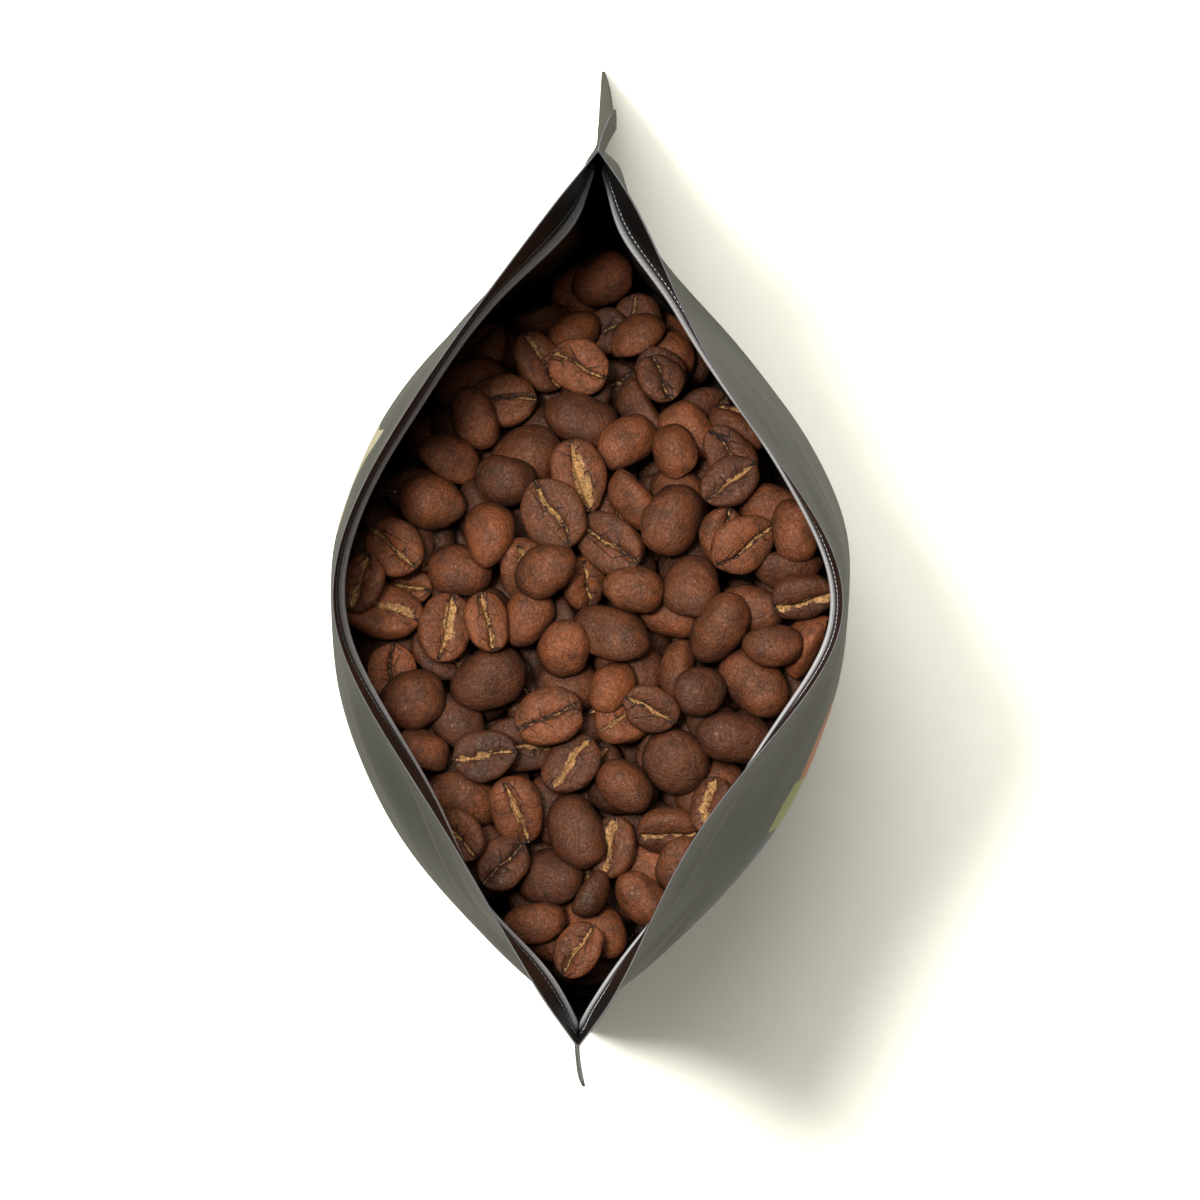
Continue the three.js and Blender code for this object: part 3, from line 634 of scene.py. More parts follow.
class COFFEE_OT_film(bpy.types.Operator):
    """Makes the pouch's film: a tube of outer and inner faces, joined at the cut edge and at the bottom.

    The outer loop runs along the front panel, round one fin, along the back panel and round the other
    fin. Its points are the wall formula at t, and beyond t = 1 a flat fin of the seal's width.
    """
    bl_idname = "coffee.film"
    bl_label = "Film"

    def execute(self, context):
        settings = context.scene.coffee_pouch
        shape = PouchShape(settings)
        rise = np.linspace(0, 1, FILM_ROWS)
        z = (shape.height * mix(rise, smooth(rise), ROWS_TO_ENDS))[:, None]
        t = np.linspace(-1, 1, PANEL_SAMPLES)[None, :]
        t = np.sign(t) * (1 - (1 - np.abs(t)) ** SAMPLES_TO_SEALS)
        slow, quick = RIM_WAVE_TURNS
        cut = RIM_WAVE * (0.5 + 0.5 * np.sin(slow * t + RIM_WAVE_START) * np.sin(quick * t))
        near_rim = smooth((z / shape.height - RIM_WAVE_FROM) / (1 - RIM_WAVE_FROM))
        level = z - np.where(np.abs(t) < 1, cut * near_rim, 0)
        front = shape.wall("front", t, level, 0)
        back = shape.wall("back", t, level, 0)
        inner_t = INNER_REACH * t
        inner_front = shape.wall("front", inner_t, level, settings.film)
        inner_back = shape.wall("back", inner_t, level, settings.film)
        fin_right = self.fin(shape, z, 1, front[:, -1])
        fin_left = self.fin(shape, z, -1, back[:, 0])
        outer = np.concatenate([front, fin_right, back[:, ::-1], fin_left], axis=1)
        inner = np.concatenate([inner_front, inner_back[:, ::-1]], axis=1)
        rows, outer_count = outer.shape[:2]
        inner_count = inner.shape[1]
        start = rows * outer_count
        outer_faces = grid_faces(rows, outer_count, True)
        inner_faces = grid_faces(rows, inner_count, True)[:, ::-1] + start
        last_outer, last_inner = (rows - 1) * outer_count, start + (rows - 1) * inner_count
        rim = self.end_faces(outer_count, last_outer, last_inner)
        bottom = self.end_faces(outer_count, 0, start)[:, ::-1]
        groups = [outer_faces, inner_faces, rim, bottom]
        index = np.concatenate([np.full(len(g), i) for g, i in zip(groups, (0, 1, 2, 2))])
        points = np.concatenate([outer.reshape(-1, 3), inner.reshape(-1, 3)])
        materials = [film_material(settings), lining_material(), cut_edge_material()]
        piece = make_object("pouch_film", points, groups, materials, index)
        self.map_film(piece, shape, z, t)
        place_piece(piece, "pouch")
        return {"FINISHED"}

    def fin(self, shape, z, end, root):
        """The fin's two faces and tip: straight out by the seal's width, bent by a parabola in height."""
        share = np.linspace(0, 1, FIN_STEPS)[1:][None, :]
        low, middle, high = FIN_BEND[end]
        rise = z / shape.height
        bend = low * (1 - rise) * (1 - 2 * rise) + 4 * middle * rise * (1 - rise)
        bend = bend + high * rise * (2 * rise - 1)
        x = root[:, :1] + end * share * shape.seal_width(z)
        y = bend * share**FIN_BEND_POWER
        half = FIN_THICKNESS / 2 + 0 * share
        height = z + 0 * share
        near = np.stack([x, y - end * half, height], axis=-1)
        far = np.stack([x, y + end * half, height], axis=-1)
        return np.concatenate([near, far[:, ::-1]], axis=1)

    def end_faces(self, outer_count, outer_start, inner_start):
        """Faces that close the top or the bottom: a ring along the panels, and strips across both fins."""
        panel = PANEL_SAMPLES
        fin = outer_count // 2 - panel
        i = np.arange(panel - 1)
        faces = []
        for outer_offset, inner_offset in ((0, 0), (panel + fin, panel)):
            o = outer_start + outer_offset + i
            n = inner_start + inner_offset + i
            faces.append(np.stack([o, o + 1, n + 1, n], axis=-1))
        k = np.arange(FIN_STEPS - 1)
        for root, other, near, far in (
            (panel - 1, panel + fin, panel - 1, panel),
            (2 * panel + fin - 1, outer_count, 2 * panel - 1, 0),
        ):
            join = outer_start + np.array([root, other % outer_count])
            faces.append(np.array([[*join, inner_start + far, inner_start + near]]))
            strip = np.stack([root + k, root + k + 1, other - k - 1, other - k], axis=-1)
            faces.append(outer_start + strip % outer_count)
        return np.concatenate(faces)

    def map_film(self, piece, shape, z, t):
        """UV in metres: the distance across the panel and the height. Marks the welded places."""
        panel_half = shape.flat_width / 2 - shape.seal_width(z)
        on_panel = t * panel_half
        share = np.linspace(0, 1, FIN_STEPS)[1:][None, :]
        fin_out = panel_half + share * shape.seal_width(z)
        fin = np.concatenate([fin_out, fin_out[:, ::-1]], axis=1)
        outer_u = np.concatenate([on_panel, fin, on_panel[:, ::-1], -fin], axis=1)
        inner_u = np.concatenate([on_panel, on_panel[:, ::-1]], axis=1)
        heights = z + 0 * outer_u
        inner_heights = z + 0 * inner_u
        u = np.concatenate([outer_u.ravel(), inner_u.ravel()])
        v = np.concatenate([heights.ravel(), inner_heights.ravel()])
        set_uv(piece, np.stack([u, v], axis=-1))
        welded_side = np.abs(outer_u) > panel_half - SEAL_MARGIN
        base_line = shape.base_fold(np.clip(outer_u / panel_half, -1, 1)) + BASE_WELD
        welded = np.where(welded_side, 1.0, smooth((base_line - heights) / BASE_WELD_FADE))
        set_point_values(piece, "seal", np.concatenate([welded.ravel(), np.zeros(inner_u.size)]))


BASE_REACH = 0.985  # in t
BASE_COLUMNS = 97
BASE_ROWS = 41
BASE_PINCH = 0.48 * MM  # depth of the small folds towards its ends
BASE_PINCH_TURNS = (9, 3)  # radians of their wave, for one t and from panel to panel
BASE_STEEPNESS = 3  # rise of the sheet next to the side seals, which thickens it in height


class COFFEE_OT_base(bpy.types.Operator):
    """Makes the folded base: a sheet between the panels whose height is the fold's formula of t."""
    bl_idname = "coffee.base"
    bl_label = "Folded base"

    def execute(self, context):
        settings = context.scene.coffee_pouch
        shape = PouchShape(settings)
        t = np.linspace(-BASE_REACH, BASE_REACH, BASE_COLUMNS)[None, :]
        across = np.linspace(0, 1, BASE_ROWS)[:, None]
        upper = shape.base_fold(t)
        front = shape.wall("front", t, upper, settings.film / 2)
        back = shape.wall("back", t, upper, settings.film / 2)
        top = mix(front, back, across[..., None])
        turns = BASE_PINCH_TURNS[0] * t + BASE_PINCH_TURNS[1] * across
        pinch = BASE_PINCH * np.sin(np.pi * across) ** 2 * np.cos(turns)
        top[..., Z_AXIS] += pinch * np.abs(t)
        below = top.copy()
        steepness = BASE_STEEPNESS * np.abs(t) ** (BASE_FOLD_POWER - 1)
        below[..., Z_AXIS] -= settings.film * np.hypot(1, steepness)
        rows, columns = top.shape[:2]
        start = rows * columns
        edge = np.concatenate([
            np.arange(columns),
            columns * np.arange(1, rows) + columns - 1,
            (rows - 1) * columns + np.arange(columns - 2, -1, -1),
            columns * np.arange(rows - 2, 0, -1),
        ])
        following = np.roll(edge, -1)
        side = np.stack([edge, edge + start, following + start, following], axis=-1)
        groups = [grid_faces(rows, columns, False), grid_faces(rows, columns, False)[:, ::-1] + start, side]
        index = np.concatenate([np.full(len(g), i) for g, i in zip(groups, (1, 0, 0))])
        points = np.concatenate([top.reshape(-1, 3), below.reshape(-1, 3)])
        materials = [base_film_material(), lining_material()]
        piece = make_object("pouch_base", points, groups, materials, index)
        place_piece(piece, "pouch")
        return {"FINISHED"}


# Round ribs stand off the zip's thin flange: guide ridges above, the locking rib or groove in the
# middle. For each, in millimetres: height over the strip's middle, how far it stands off, half its width.
ZIP_RIBS = {
    "front": [(3.9, 0.2, 0.35), (2.2, 0.42, 0.4), (0.4, 0.9, 0.7), (-2.4, 0.5, 0.4)],
    "back": [(3.9, 0.2, 0.35), (2.8, 0.42, 0.35), (1.4, 0.68, 0.4), (-0.4, 1.0, 0.6), (-2.8, 0.5, 0.4)],
}
ZIP_STEPS = 240
ZIP_PROFILE_STEPS = 64
ZIP_FLANGE_THICKNESS = 0.35 * MM
ZIP_RIB_FOOT = 1.5  # a rib's foot is this much wider than the rib
ZIP_EDGE = 0.6  # share of the flange's thickness at its edges
ZIP_END_FADE = 0.03  # in t: the ribs are crushed flat over this length at both ends
ZIP_IN_FILM = 0.02 * MM  # how far the flange sinks into the film
ZIP_PALE_FROM = 0.5 * MM  # a rib that stands off this far is milky all through


class COFFEE_OT_zip(bpy.types.Operator):
    """Makes both press-to-close strips: a profile of a flange with round ribs, carried along the wall."""
    bl_idname = "coffee.zip"
    bl_label = "Zip strips"

    def execute(self, context):
        pouch = context.scene.coffee_pouch
        settings = context.scene.coffee_zip
        shape = PouchShape(pouch)
        material = zip_material()
        for side, node in (("front", "zip_front"), ("back", "zip_back")):
            piece = self.strip(shape, settings, side, pouch.film, material)
            place_piece(piece, node)
        return {"FINISHED"}

    def strip(self, shape, settings, side, film, material):
        """The face with the ribs stands off the wall by a function of height: flange and cosine ribs."""
        rise = np.linspace(settings.flange / 2, -settings.flange / 2, ZIP_PROFILE_STEPS)
        stand = np.full(ZIP_PROFILE_STEPS, ZIP_FLANGE_THICKNESS)
        for height, depth, half_width in ZIP_RIBS[side]:
            rib = np.sqrt(bump(rise, height * MM, half_width * MM * ZIP_RIB_FOOT))
            stand = np.maximum(stand, ZIP_FLANGE_THICKNESS + depth * MM * rib)
        stand[[0, -1]] = ZIP_FLANGE_THICKNESS * ZIP_EDGE
        t = np.linspace(-1, 1, ZIP_STEPS)[None, :]
        flat_end = smooth((1 - np.abs(t)) / ZIP_END_FADE)
        t = t * np.where(t > 0, settings.reach, settings.far_reach)
        z = settings.middle + rise[:, None]
        offset = mix(ZIP_FLANGE_THICKNESS, stand[:, None], flat_end)
        inner = shape.wall(side, t, z + 0 * t, film + offset)
        outer = shape.wall(side, t, z + 0 * t, film - ZIP_IN_FILM)
        rows, columns = inner.shape[:2]
        ring = np.concatenate([inner, outer[::-1]], axis=0)
        count = ring.shape[0]
        faces = grid_faces(count, columns, False)
        last = np.stack([
            (count - 1) * columns + np.arange(columns - 1),
            (count - 1) * columns + np.arange(1, columns),
            np.arange(1, columns),
            np.arange(columns - 1),
        ], axis=-1)
        k = np.arange(rows - 1)
        cap = columns * np.stack([k, k + 1, count - 2 - k, count - 1 - k], axis=-1)
        far_cap = cap[:, ::-1] + columns - 1
        groups = [faces, last, cap, far_cap]
        if side == "front":
            groups = [g[:, ::-1] for g in groups]
        piece = make_object(f"zip_{side}_strip", ring, groups, [material])
        along = np.broadcast_to(t * shape.flat_width / 2, ring.shape[:2])
        up = np.concatenate([z + 0 * t, (z + 0 * t)[::-1]])
        set_uv(piece, np.stack([along.ravel(), up.ravel()], axis=-1))
        rib = smooth((offset - ZIP_FLANGE_THICKNESS) / ZIP_PALE_FROM)
        set_point_values(piece, "rib", np.concatenate([rib, 0 * rib]).ravel())
        return piece


# The heap
HEAP_FLOOR = 156 * MM  # top of the core in the middle, on which beans are dropped
HEAP_FALLS = ((1, 0, 54 * MM, 30 * MM), (-1, 20 * MM, 40 * MM, 3 * MM))  # end, start, length, drop
HEAP_DEPTH = 24 * MM  # how high loose beans lie over the core
HEAP_CELL = 0.5 * MM
HEAP_MARGIN = 6 * MM  # of the map of heights, past the belly
HEAP_CLEARANCE = 0.3 * MM
HEAP_LEVELS = 6  # heights at which the room between the walls is measured
ROOM_BELOW = 12 * MM  # from this far below the core's top
HEAP_REACH = 0.985  # share of the half-width that beans keep to
CORE_REACH = 0.975
CORE_STEPS = 90
CORE_ROWS = 26
CORE_CLEARANCE = 0.35 * MM
CORE_OVER_BASE = 1.2 * MM
DROP_TRIES = 48
NUDGE_TRIES = 14
NUDGE_TURN = 0.22  # radians either way
NUDGE_CELLS = 2  # either way
BEAN_SPREAD = 0.16
BEAN_TILT = 0.42  # radians either way, end to end
BEDDED = 0.15 * MM  # how far beans press into each other
POSE_SHARES = (0.47, 0.38, 0.15)
POSES = ((math.pi, 0.55), (0.0, 0.6), (math.pi / 2, 0.5))  # roll and its spread: back, cut or edge up
FACE_UP = 0.55  # a bean's cut face counts as up from this cosine on
FINE_GRID = (22, 10, 16)  # rings, steps on half of the cut face, steps round the back
COARSE_GRID = (12, 6, 10)
SEEN_CELLS = 60  # a bean with fewer cells in sight gets the coarse grid
BETWEEN_PAINTED_SHADE = 0.25  # beans deeper down, in the gaps, get darker skins: a painted shade
LIT_FROM = 2.0 * MM  # over a bean's centre; below this its skin gets a painted shade
LIT_DEPTH = 4.0 * MM
UNDERSIDE_SHADE_SHARE = 0.8
CHAFF_HALF_WIDTH = (0.05 * MM, 0.45 * MM)
WIDE_CHAFF = 0.4 * MM  # some beans keep more of it
WIDE_CHAFF_SHARE = 0.2
OFF_GROOVE = 9 * MM  # stored as the distance from the cut all over the back
BEAN_OUTLINE = (2.15, 0.49)  # powers of the superellipse along the bean
FACE_OUTLINE = (3.0, 0.45)  # and of the one across its cut face
FACE_TO_TIPS = 0.75  # power by which the cut face flattens towards the tips
FACE_BULGE = (0.85, 1.15)  # of a quarter of the thickness, which the cut face stands out by
EGG_SHARE = (-0.1, 0.1)  # how much wider one end is
BACK_EGG = 0.06  # how much of that the back's height takes up
SPINE_BEND = (-0.1, 0.04)  # how far the tips bend down or up, in half-thicknesses
TIP_DROP = 0.03
CUT_BEND = (0.02, 0.12)  # swing of the centre cut to both sides, in half-widths
CUT_BEND_TURN = 0.95  # of a full S
CUT_ASIDE = (-0.06, 0.06)
CUT_UNEVEN = 0.5  # by how much the cut's width swings
CUT_UNEVEN_TURN = (2, 6)  # radians from the bean's middle to its tip
CUT_UNEVEN_START = (0, 6)
CUT_END_POWER = 8  # the cut fades out near the tips by this power
BEAN_DENTS = ((8 * MM, 0.13 * MM), (4.2 * MM, 0.05 * MM), (2.2 * MM, 0.03 * MM))  # wavelength, height
CUT_DEPTH = 0.95 * MM  # the groove of the centre cut
CUT_HALF_WIDTH = (0.22 * MM, 0.42 * MM)
LIPS_DEPTH = (0.1 * MM, 0.4 * MM)  # how far the face dips towards the cut
LIPS_HALF_WIDTH = 1.4 * MM
TONE_SPREAD = (2.4, 1.8)  # of the beta distribution of the beans' tones


def rotations(roll, tilt, spin):
    """Rotation matrices for arrays of angles: roll about X, then tilt about Y, then spin about Z."""
    zero, one = np.zeros_like(roll), np.ones_like(roll)
    cr, sr, ct, st, cs, ss = (f(a) for a in (roll, tilt, spin) for f in (np.cos, np.sin))
    rx = np.stack([one, zero, zero, zero, cr, -sr, zero, sr, cr], axis=-1).reshape(-1, 3, 3)
    ry = np.stack([ct, zero, st, zero, one, zero, -st, zero, ct], axis=-1).reshape(-1, 3, 3)
    rz = np.stack([cs, -ss, zero, ss, cs, zero, zero, zero, one], axis=-1).reshape(-1, 3, 3)
    return rz @ ry @ rx


def heap_floor(x):
    """Top of the core: level in the middle of the pouch, falling off by smooth steps to both ends."""
    falls = sum(drop * smooth((end * x - start) / length) for end, start, length, drop in HEAP_FALLS)
    return HEAP_FLOOR - falls


def drop_beans(shape, settings, film):
    """Drops beans one by one on a map of heights. Each tries several places and stays where it lies
    lowest over the core.

    A bean counts as a turned ellipsoid: the faces over a point (x, y) solve its quadratic in z. Returns
    the beans' centres, rotations and half-sizes, and how many cells of the map each one still owns.
    """
    rng = np.random.default_rng(settings.seed)
    columns = int(shape.flat_width / HEAP_CELL)
    depth_cells = int(2 * (BELLY_HALF_DEPTH + HEAP_MARGIN) / HEAP_CELL)
    x = (np.arange(columns) - columns / 2) * HEAP_CELL
    y = (np.arange(depth_cells) - depth_cells / 2) * HEAP_CELL
    room = np.ones((columns, depth_cells), bool)
    for level in np.linspace(HEAP_FLOOR - ROOM_BELOW, HEAP_FLOOR + HEAP_DEPTH, HEAP_LEVELS):
        t = (x - shape.middle_x(level)) / shape.half_width(level)
        kept = np.clip(t, -HEAP_REACH, HEAP_REACH)
        front = shape.wall("front", kept, level, film + HEAP_CLEARANCE)[:, 1]
        back = shape.wall("back", kept, level, film + HEAP_CLEARANCE)[:, 1]
        room &= (y[None, :] > front[:, None]) & (y[None, :] < back[:, None]) & (kept == t)[:, None]
    core_top = heap_floor(x)
    heights = np.where(room, core_top[:, None], np.inf)
    owner = np.full(heights.shape, -1)
    places = np.argwhere(room)
    reach = int(settings.length * (1 + BEAN_SPREAD) / 2 / HEAP_CELL) + 1
    steps = np.arange(-reach, reach + 1)
    gx, gy = np.meshgrid(steps * HEAP_CELL, steps * HEAP_CELL, indexing="ij")
    half = np.array([settings.length, settings.width, settings.thickness]) / 2
    centres, turns, sizes = [], [], []
    for _ in range(settings.count):
        size = half * (1 + BEAN_SPREAD * rng.uniform(-1, 1)) * (1 + BEAN_SPREAD / 2 * rng.uniform(-1, 1, 3))
        roll, roll_spread = POSES[rng.choice(len(POSES), p=POSE_SHARES)]
        lowest, best = np.inf, None
        for attempt in range(DROP_TRIES + NUDGE_TRIES):
            if attempt < DROP_TRIES or best is None:
                i, j = places[rng.integers(len(places))]
                angles = np.array([roll, 0, math.pi])
                angles += rng.uniform(-1, 1, 3) * (roll_spread, BEAN_TILT, math.pi)
            else:
                i = best[0] + rng.integers(-NUDGE_CELLS, NUDGE_CELLS + 1)
                j = best[1] + rng.integers(-NUDGE_CELLS, NUDGE_CELLS + 1)
                angles = best[2] + NUDGE_TURN * rng.uniform(-1, 1, 3)
            if not (reach <= i < columns - reach and reach <= j < depth_cells - reach):
                continue
            turn = rotations(*angles[:, None])[0]
            form = turn @ np.diag(1 / size**2) @ turn.T
            slope = form[0, 2] * gx + form[1, 2] * gy
            rest = form[0, 0] * gx**2 + 2 * form[0, 1] * gx * gy + form[1, 1] * gy**2 - 1
            inner = slope**2 - form[2, 2] * rest
            under = inner > 0
            root = np.sqrt(np.where(under, inner, 0))
            patch = heights[i - reach : i + reach + 1, j - reach : j + reach + 1]
            level = np.max(np.where(under, patch - (-slope - root) / form[2, 2], -np.inf)) - core_top[i]
            if level < lowest:
                lowest = level
                best = (i, j, angles, turn, (-slope + root) / form[2, 2], under)
        if best is None:
            continue
        i, j, _, turn, upper, under = best
        if lowest + np.max(upper[under]) > HEAP_DEPTH:
            continue
        centre_z = core_top[i] + lowest - BEDDED
        patch = (slice(i - reach, i + reach + 1), slice(j - reach, j + reach + 1))
        higher = under & (centre_z + upper > heights[patch])
        heights[patch] = np.where(higher, centre_z + upper, heights[patch])
        owner[patch] = np.where(higher, len(centres), owner[patch])
        centres.append((x[i], y[j], centre_z))
        turns.append(turn)
        sizes.append(size)
    seen = np.bincount(owner[owner >= 0], minlength=len(centres))
    return np.array(centres), np.array(turns), np.array(sizes), seen


def bean_surfaces(sizes, rng, grid):
    """Surfaces of beans in their own frames, cut face up, as arrays over rings and the way round.

    Along the bean a superellipse gives each ring its size. Round the back the section is half an
    ellipse, and across the cut face a flat superellipse. A Gaussian groove follows an S along the
    face, its lips roll in, and slow sines make each bean a little uneven.
    """
    rings, half_steps, back_steps = grid
    count = len(sizes)
    a, b, c = (sizes[:, k, None, None] for k in range(3))

    def pick(low, high):
        return rng.uniform(low, high, (count, 1, 1))

    theta = (np.arange(1, rings + 1) / (rings + 1) * np.pi)[None, :, None]
    along = np.cos(theta)
    ring = (1 - np.abs(along) ** BEAN_OUTLINE[0]) ** BEAN_OUTLINE[1]
    q = np.linspace(1, -1, 2 * half_steps + 1)[None, None, :]
    face_y = np.sign(q) * smooth(np.abs(q))
    phi = np.linspace(np.pi, 2 * np.pi, back_steps + 1)[1:-1][None, None, :]
    egg = 1 + pick(*EGG_SHARE) * along
    s_bend = pick(*CUT_BEND) * np.where(rng.random((count, 1, 1)) < 0.5, -1, 1)
    middle = b * ring * (s_bend * np.sin(np.pi * along * CUT_BEND_TURN) + pick(*CUT_ASIDE))
    y_face = b * ring * egg * face_y + middle * (1 - face_y**2)
    bulge = 0.5 * c * pick(*FACE_BULGE)
    z_face = bulge * ring**FACE_TO_TIPS * (1 - np.abs(face_y) ** FACE_OUTLINE[0]) ** FACE_OUTLINE[1]
    away = y_face - middle
    opening = pick(*CUT_HALF_WIDTH)
    opening = opening * (1 + CUT_UNEVEN * np.sin(pick(*CUT_UNEVEN_TURN) * along + pick(*CUT_UNEVEN_START)))
    end_fade = 1 - np.abs(along) ** CUT_END_POWER
    z_face = z_face - CUT_DEPTH * np.exp(-((away / opening) ** 2)) * end_fade
    z_face = z_face - pick(*LIPS_DEPTH) * np.exp(-((away / LIPS_HALF_WIDTH) ** 2)) * end_fade
    y_back = b * ring * egg * np.cos(phi)
    dome = 2 * c - bulge
    z_back = dome * ring * (1 - BACK_EGG + BACK_EGG * egg) * np.sin(phi)
    y = np.concatenate([y_face, y_back], axis=2)
    z = np.concatenate([z_face, z_back], axis=2) + pick(*SPINE_BEND) * c * along**2
    x = a * along + 0 * y
    points = np.stack([x, y, z], axis=-1).reshape(count, -1, 3)
    tip_x = np.array([1, -1])[None, :] * a[:, :, 0]
    tips = np.stack([tip_x, 0 * tip_x, 0 * tip_x - TIP_DROP * c[:, :, 0]], axis=-1)
    local = np.concatenate([points, tips], axis=1)
    length = np.linalg.norm(local, axis=2, keepdims=True)
    outward = local / np.maximum(length, 1 * MM)
    points = local.copy()
    for wavelength, height in BEAN_DENTS:
        direction = rng.normal(size=(count, 3, 3))
        direction /= np.linalg.norm(direction, axis=2, keepdims=True)
        phase = rng.uniform(0, 2 * np.pi, (count, 1, 3))
        turn = np.einsum("nvk,nmk->nvm", local, direction) * 2 * np.pi / wavelength
        points += height * np.sin(turn + phase).sum(axis=2)[..., None] * outward
    points[..., Z_AXIS] += (dome - bulge)[:, :, 0] / 2
    groove = np.full(y.shape, OFF_GROOVE)
    groove[:, :, : face_y.size] = away
    groove = np.concatenate([groove.reshape(count, -1), np.full((count, 2), OFF_GROOVE)], axis=1)
    return points, local, groove


def bean_faces(grid):
    """Quads round the rings and triangles at both tips, for one bean."""
    rings, half_steps, back_steps = grid
    around = 2 * half_steps + back_steps
    tip = rings * around
    k = np.arange(around)
    following = (k + 1) % around
    base = (rings - 1) * around
    near = np.stack([k * 0 + tip, following, k], axis=-1)
    far = np.stack([k * 0 + tip + 1, base + k, base + following], axis=-1)
    return grid_faces(rings, around, True), np.concatenate([near, far])


class COFFEE_OT_beans(bpy.types.Operator):
    """Makes the heap: loose roasted beans, dropped and turned by a seeded rule, over a dark core."""
    bl_idname = "coffee.beans"
    bl_label = "Beans"

    def execute(self, context):
        pouch = context.scene.coffee_pouch
        settings = context.scene.coffee_beans
        shape = PouchShape(pouch)
        centres, turns, sizes, seen = drop_beans(shape, settings, pouch.film)
        material = bean_material(settings)
        rng = np.random.default_rng(settings.seed + 1)
        facing = turns[:, 2, 2]
        upper = seen >= SEEN_CELLS
        kinds = {
            "beans_back_up": (upper & (facing < -FACE_UP), FINE_GRID, 1),
            "beans_cut_up": (upper & (facing > FACE_UP), FINE_GRID, 1),
            "beans_on_edge": (upper & (np.abs(facing) <= FACE_UP), FINE_GRID, 1),
            "beans_between": (~upper & (seen > 0), COARSE_GRID, BETWEEN_PAINTED_SHADE),
        }
        for name, (chosen, grid, tone_and_shade_share) in kinds.items():
            if not chosen.any():
                raise RuntimeError(f"no beans of the kind {name}")
            beans = (centres[chosen], turns[chosen], sizes[chosen])
            piece = self.bean_piece(name, shape, pouch.film, *beans, grid, tone_and_shade_share, rng, material)
            place_piece(piece, "beans")
        place_piece(self.core(shape, pouch.film), "beans")
        return {"FINISHED"}

    def bean_piece(self, name, shape, film, centres, turns, sizes, grid, tone_and_shade_share, rng, material):
        """Joins beans of one kind to one mesh: each surface is turned and moved to its place."""
        points, local, groove = bean_surfaces(sizes, rng, grid)
        count, per_bean = points.shape[:2]
        placed = np.einsum("nij,nvj->nvi", turns, points) + centres[:, None, :]
        placed = self.pushed_inside(shape, film, placed)
        first = (np.arange(count) * per_bean)[:, None, None]
        groups = [(faces[None] + first).reshape(-1, faces.shape[1]) for faces in bean_faces(grid)]
        piece = make_object(name, placed, groups, [material])
        chaff = rng.uniform(*CHAFF_HALF_WIDTH, (count, 1))
        chaff += np.where(rng.random((count, 1)) < WIDE_CHAFF_SHARE, WIDE_CHAFF, 0)
        grain = local + rng.uniform(-1, 1, (count, 1, 3))
        along = local[..., 0] / sizes[:, :1]
        set_point_values(piece, "grain", grain.reshape(-1, 3))
        set_point_values(piece, "groove", groove.ravel())
        set_point_values(piece, "along", along.ravel())
        # painted shade: darker skin below each bean's centre
        over_centre = placed[..., Z_AXIS] - centres[:, None, Z_AXIS]
        underside_shade = UNDERSIDE_SHADE_SHARE * smooth((LIT_FROM - over_centre) / LIT_DEPTH)
        set_point_values(piece, "underside_shade", underside_shade.ravel())
        # random tone; scaled down for the beans in the gaps as a painted shade
        set_point_values(piece, "tone", np.repeat(tone_and_shade_share * rng.beta(*TONE_SPREAD, count), per_bean))
        set_point_values(piece, "chaff", np.repeat(chaff.ravel(), per_bean))
        return piece

    def pushed_inside(self, shape, film, placed):
        """Moves each bean along Y by as much as its points would reach into the walls."""
        x, y, z = np.moveaxis(placed, 2, 0)
        t = np.clip((x - shape.middle_x(z)) / shape.half_width(z), -1, 1)
        front = shape.wall("front", t, z, film + HEAP_CLEARANCE)[..., 1]
        back = shape.wall("back", t, z, film + HEAP_CLEARANCE)[..., 1]
        past_front = np.maximum(front - y, 0).max(axis=1)
        past_back = np.maximum(y - back, 0).max(axis=1)
        return placed + np.array([0, 1, 0]) * (past_front - past_back)[:, None, None]

    def core(self, shape, film):
        """The heap below the loose beans: it fills the pouch from the folded base to its sloping top."""
        t = np.linspace(-CORE_REACH, CORE_REACH, CORE_STEPS)[None, :]
        share = np.linspace(0, 1, CORE_ROWS)[:, None]
        top = heap_floor(shape.middle_x(HEAP_FLOOR) + t * shape.half_width(HEAP_FLOOR))
        z = mix(shape.base_fold(t) + CORE_OVER_BASE, top, share)
        front = shape.wall("front", t, z, film + CORE_CLEARANCE)
        back = shape.wall("back", t, z, film + CORE_CLEARANCE)
        ring = np.concatenate([front, back[:, ::-1]], axis=1)
        rows, around = ring.shape[:2]
        k = np.arange(CORE_STEPS - 1)
        lid = np.stack([k, k + 1, around - 2 - k, around - 1 - k], axis=-1)
        groups = [grid_faces(rows, around, True), lid + (rows - 1) * around, lid[:, ::-1]]
        return make_object("beans_core", ring, groups, [core_material()])


# The camera looks straight down from far above, with +X at the picture's top
CAMERA_X = -4.46 * MM
CAMERA_Y = -1.7 * MM
CAMERA_ABOVE_RIM = 5.0
CAMERA_ROLL = math.radians(1.3)
CAMERA_SEES_TO = 100
SENSOR = 36.0
IMAGE_SIDE = 1200
PIXELS_PER_METRE_AT_RIM = 7100
KEY_FROM = (0.098, 0.185)  # how far the light leans towards +X and +Y, for one metre up
WIDE_FROM = (0.298, 0.176)
LIGHT_COLOUR = (1.0, 0.975, 0.88)
SKY_COLOUR = (1.0, 0.96, 0.82, 1)
FLOOR_TOP = -0.05 * MM  # just clear of the pouch's edges


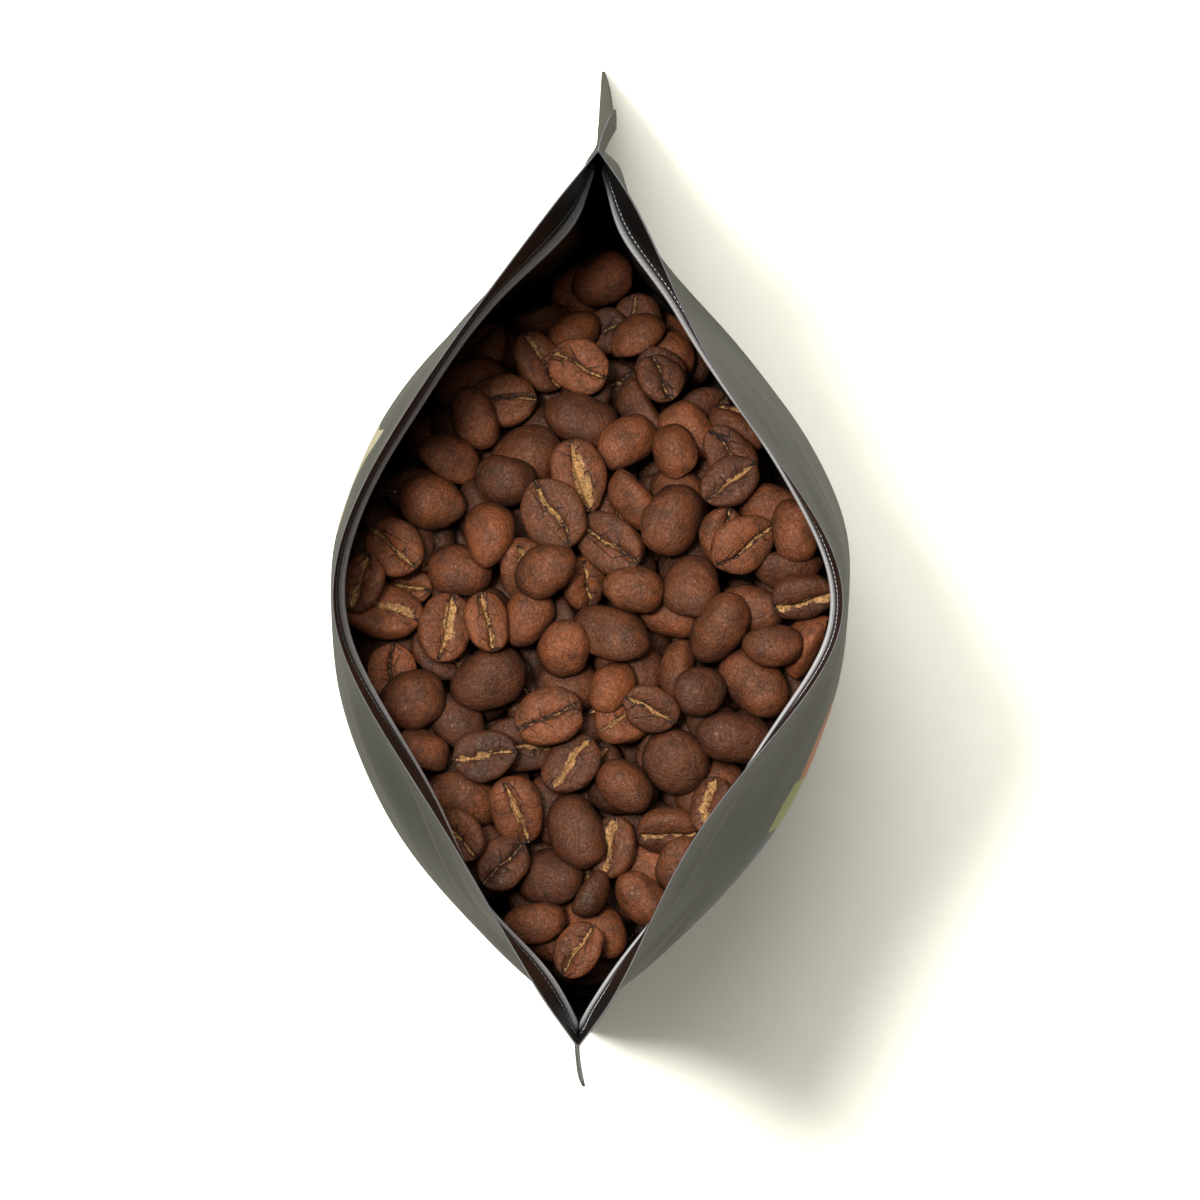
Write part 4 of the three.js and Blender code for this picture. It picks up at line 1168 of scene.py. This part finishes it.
class COFFEE_OT_stage(bpy.types.Operator):
    """Makes the pale floor, a small and a wide light from one side, the even fill and the camera."""
    bl_idname = "coffee.stage"
    bl_label = "Stage"

    def execute(self, context):
        scene = context.scene
        settings = scene.coffee_stage
        half = settings.floor_size / 2
        corners = np.array([[-half, -half, 0], [half, -half, 0], [half, half, 0], [-half, half, 0]])
        corners[:, Z_AXIS] = FLOOR_TOP
        faces = [np.array([[0, 1, 2, 3]])]
        make_object("floor", corners, faces, [floor_material()], smooth_shading=False)
        for name, lean, angle, power in (
            ("key_light", KEY_FROM, settings.key_angle, settings.key_power),
            ("wide_light", WIDE_FROM, settings.wide_angle, settings.wide_power),
        ):
            sun = bpy.data.lights.new(name, "SUN")
            sun.energy = power
            sun.angle = angle
            sun.color = LIGHT_COLOUR
            light = bpy.data.objects.new(name, sun)
            light.rotation_euler = Vector((*lean, 1)).to_track_quat("Z", "Y").to_euler()
            scene.collection.objects.link(light)

        world = bpy.data.worlds.new("studio")
        world.use_nodes = True
        background = world.node_tree.nodes["Background"]
        background.inputs["Color"].default_value = SKY_COLOUR
        background.inputs["Strength"].default_value = settings.sky_power
        scene.world = world
        scene.view_settings.view_transform = "Standard"

        lens = bpy.data.cameras.new("camera")
        lens.sensor_width = SENSOR
        lens.lens = SENSOR * CAMERA_ABOVE_RIM * PIXELS_PER_METRE_AT_RIM / IMAGE_SIDE
        lens.clip_end = CAMERA_SEES_TO
        camera = bpy.data.objects.new("camera", lens)
        camera.location = (CAMERA_X, CAMERA_Y, scene.coffee_pouch.height + CAMERA_ABOVE_RIM)
        camera.rotation_euler = (0, 0, -math.pi / 2 + CAMERA_ROLL)
        scene.collection.objects.link(camera)
        scene.camera = camera
        return {"FINISHED"}


class COFFEE_PT_panel(bpy.types.Panel):
    """Lists the makers of the pouch's pieces."""
    bl_label = "Coffee pouch"
    bl_idname = "COFFEE_PT_panel"
    bl_space_type = "VIEW_3D"
    bl_region_type = "UI"
    bl_category = "Coffee pouch"

    def draw(self, context):
        for operator in OPERATORS:
            self.layout.operator(operator.bl_idname)


PROPERTIES = {
    "coffee_pouch": PouchProperties,
    "coffee_zip": ZipProperties,
    "coffee_beans": BeanProperties,
    "coffee_stage": StageProperties,
}
OPERATORS = [COFFEE_OT_stage, COFFEE_OT_film, COFFEE_OT_base, COFFEE_OT_zip, COFFEE_OT_beans]


def register():
    for name, group in PROPERTIES.items():
        bpy.utils.register_class(group)
        setattr(bpy.types.Scene, name, PointerProperty(type=group))
    for operator in OPERATORS:
        bpy.utils.register_class(operator)
    bpy.utils.register_class(COFFEE_PT_panel)


def unregister():
    bpy.utils.unregister_class(COFFEE_PT_panel)
    for operator in reversed(OPERATORS):
        bpy.utils.unregister_class(operator)
    for name, group in PROPERTIES.items():
        delattr(bpy.types.Scene, name)
        bpy.utils.unregister_class(group)


def main():
    register()
    bpy.ops.coffee.stage()
    bpy.ops.coffee.film()
    bpy.ops.coffee.base()
    bpy.ops.coffee.zip()
    bpy.ops.coffee.beans()


if __name__ == "__main__":
    main()
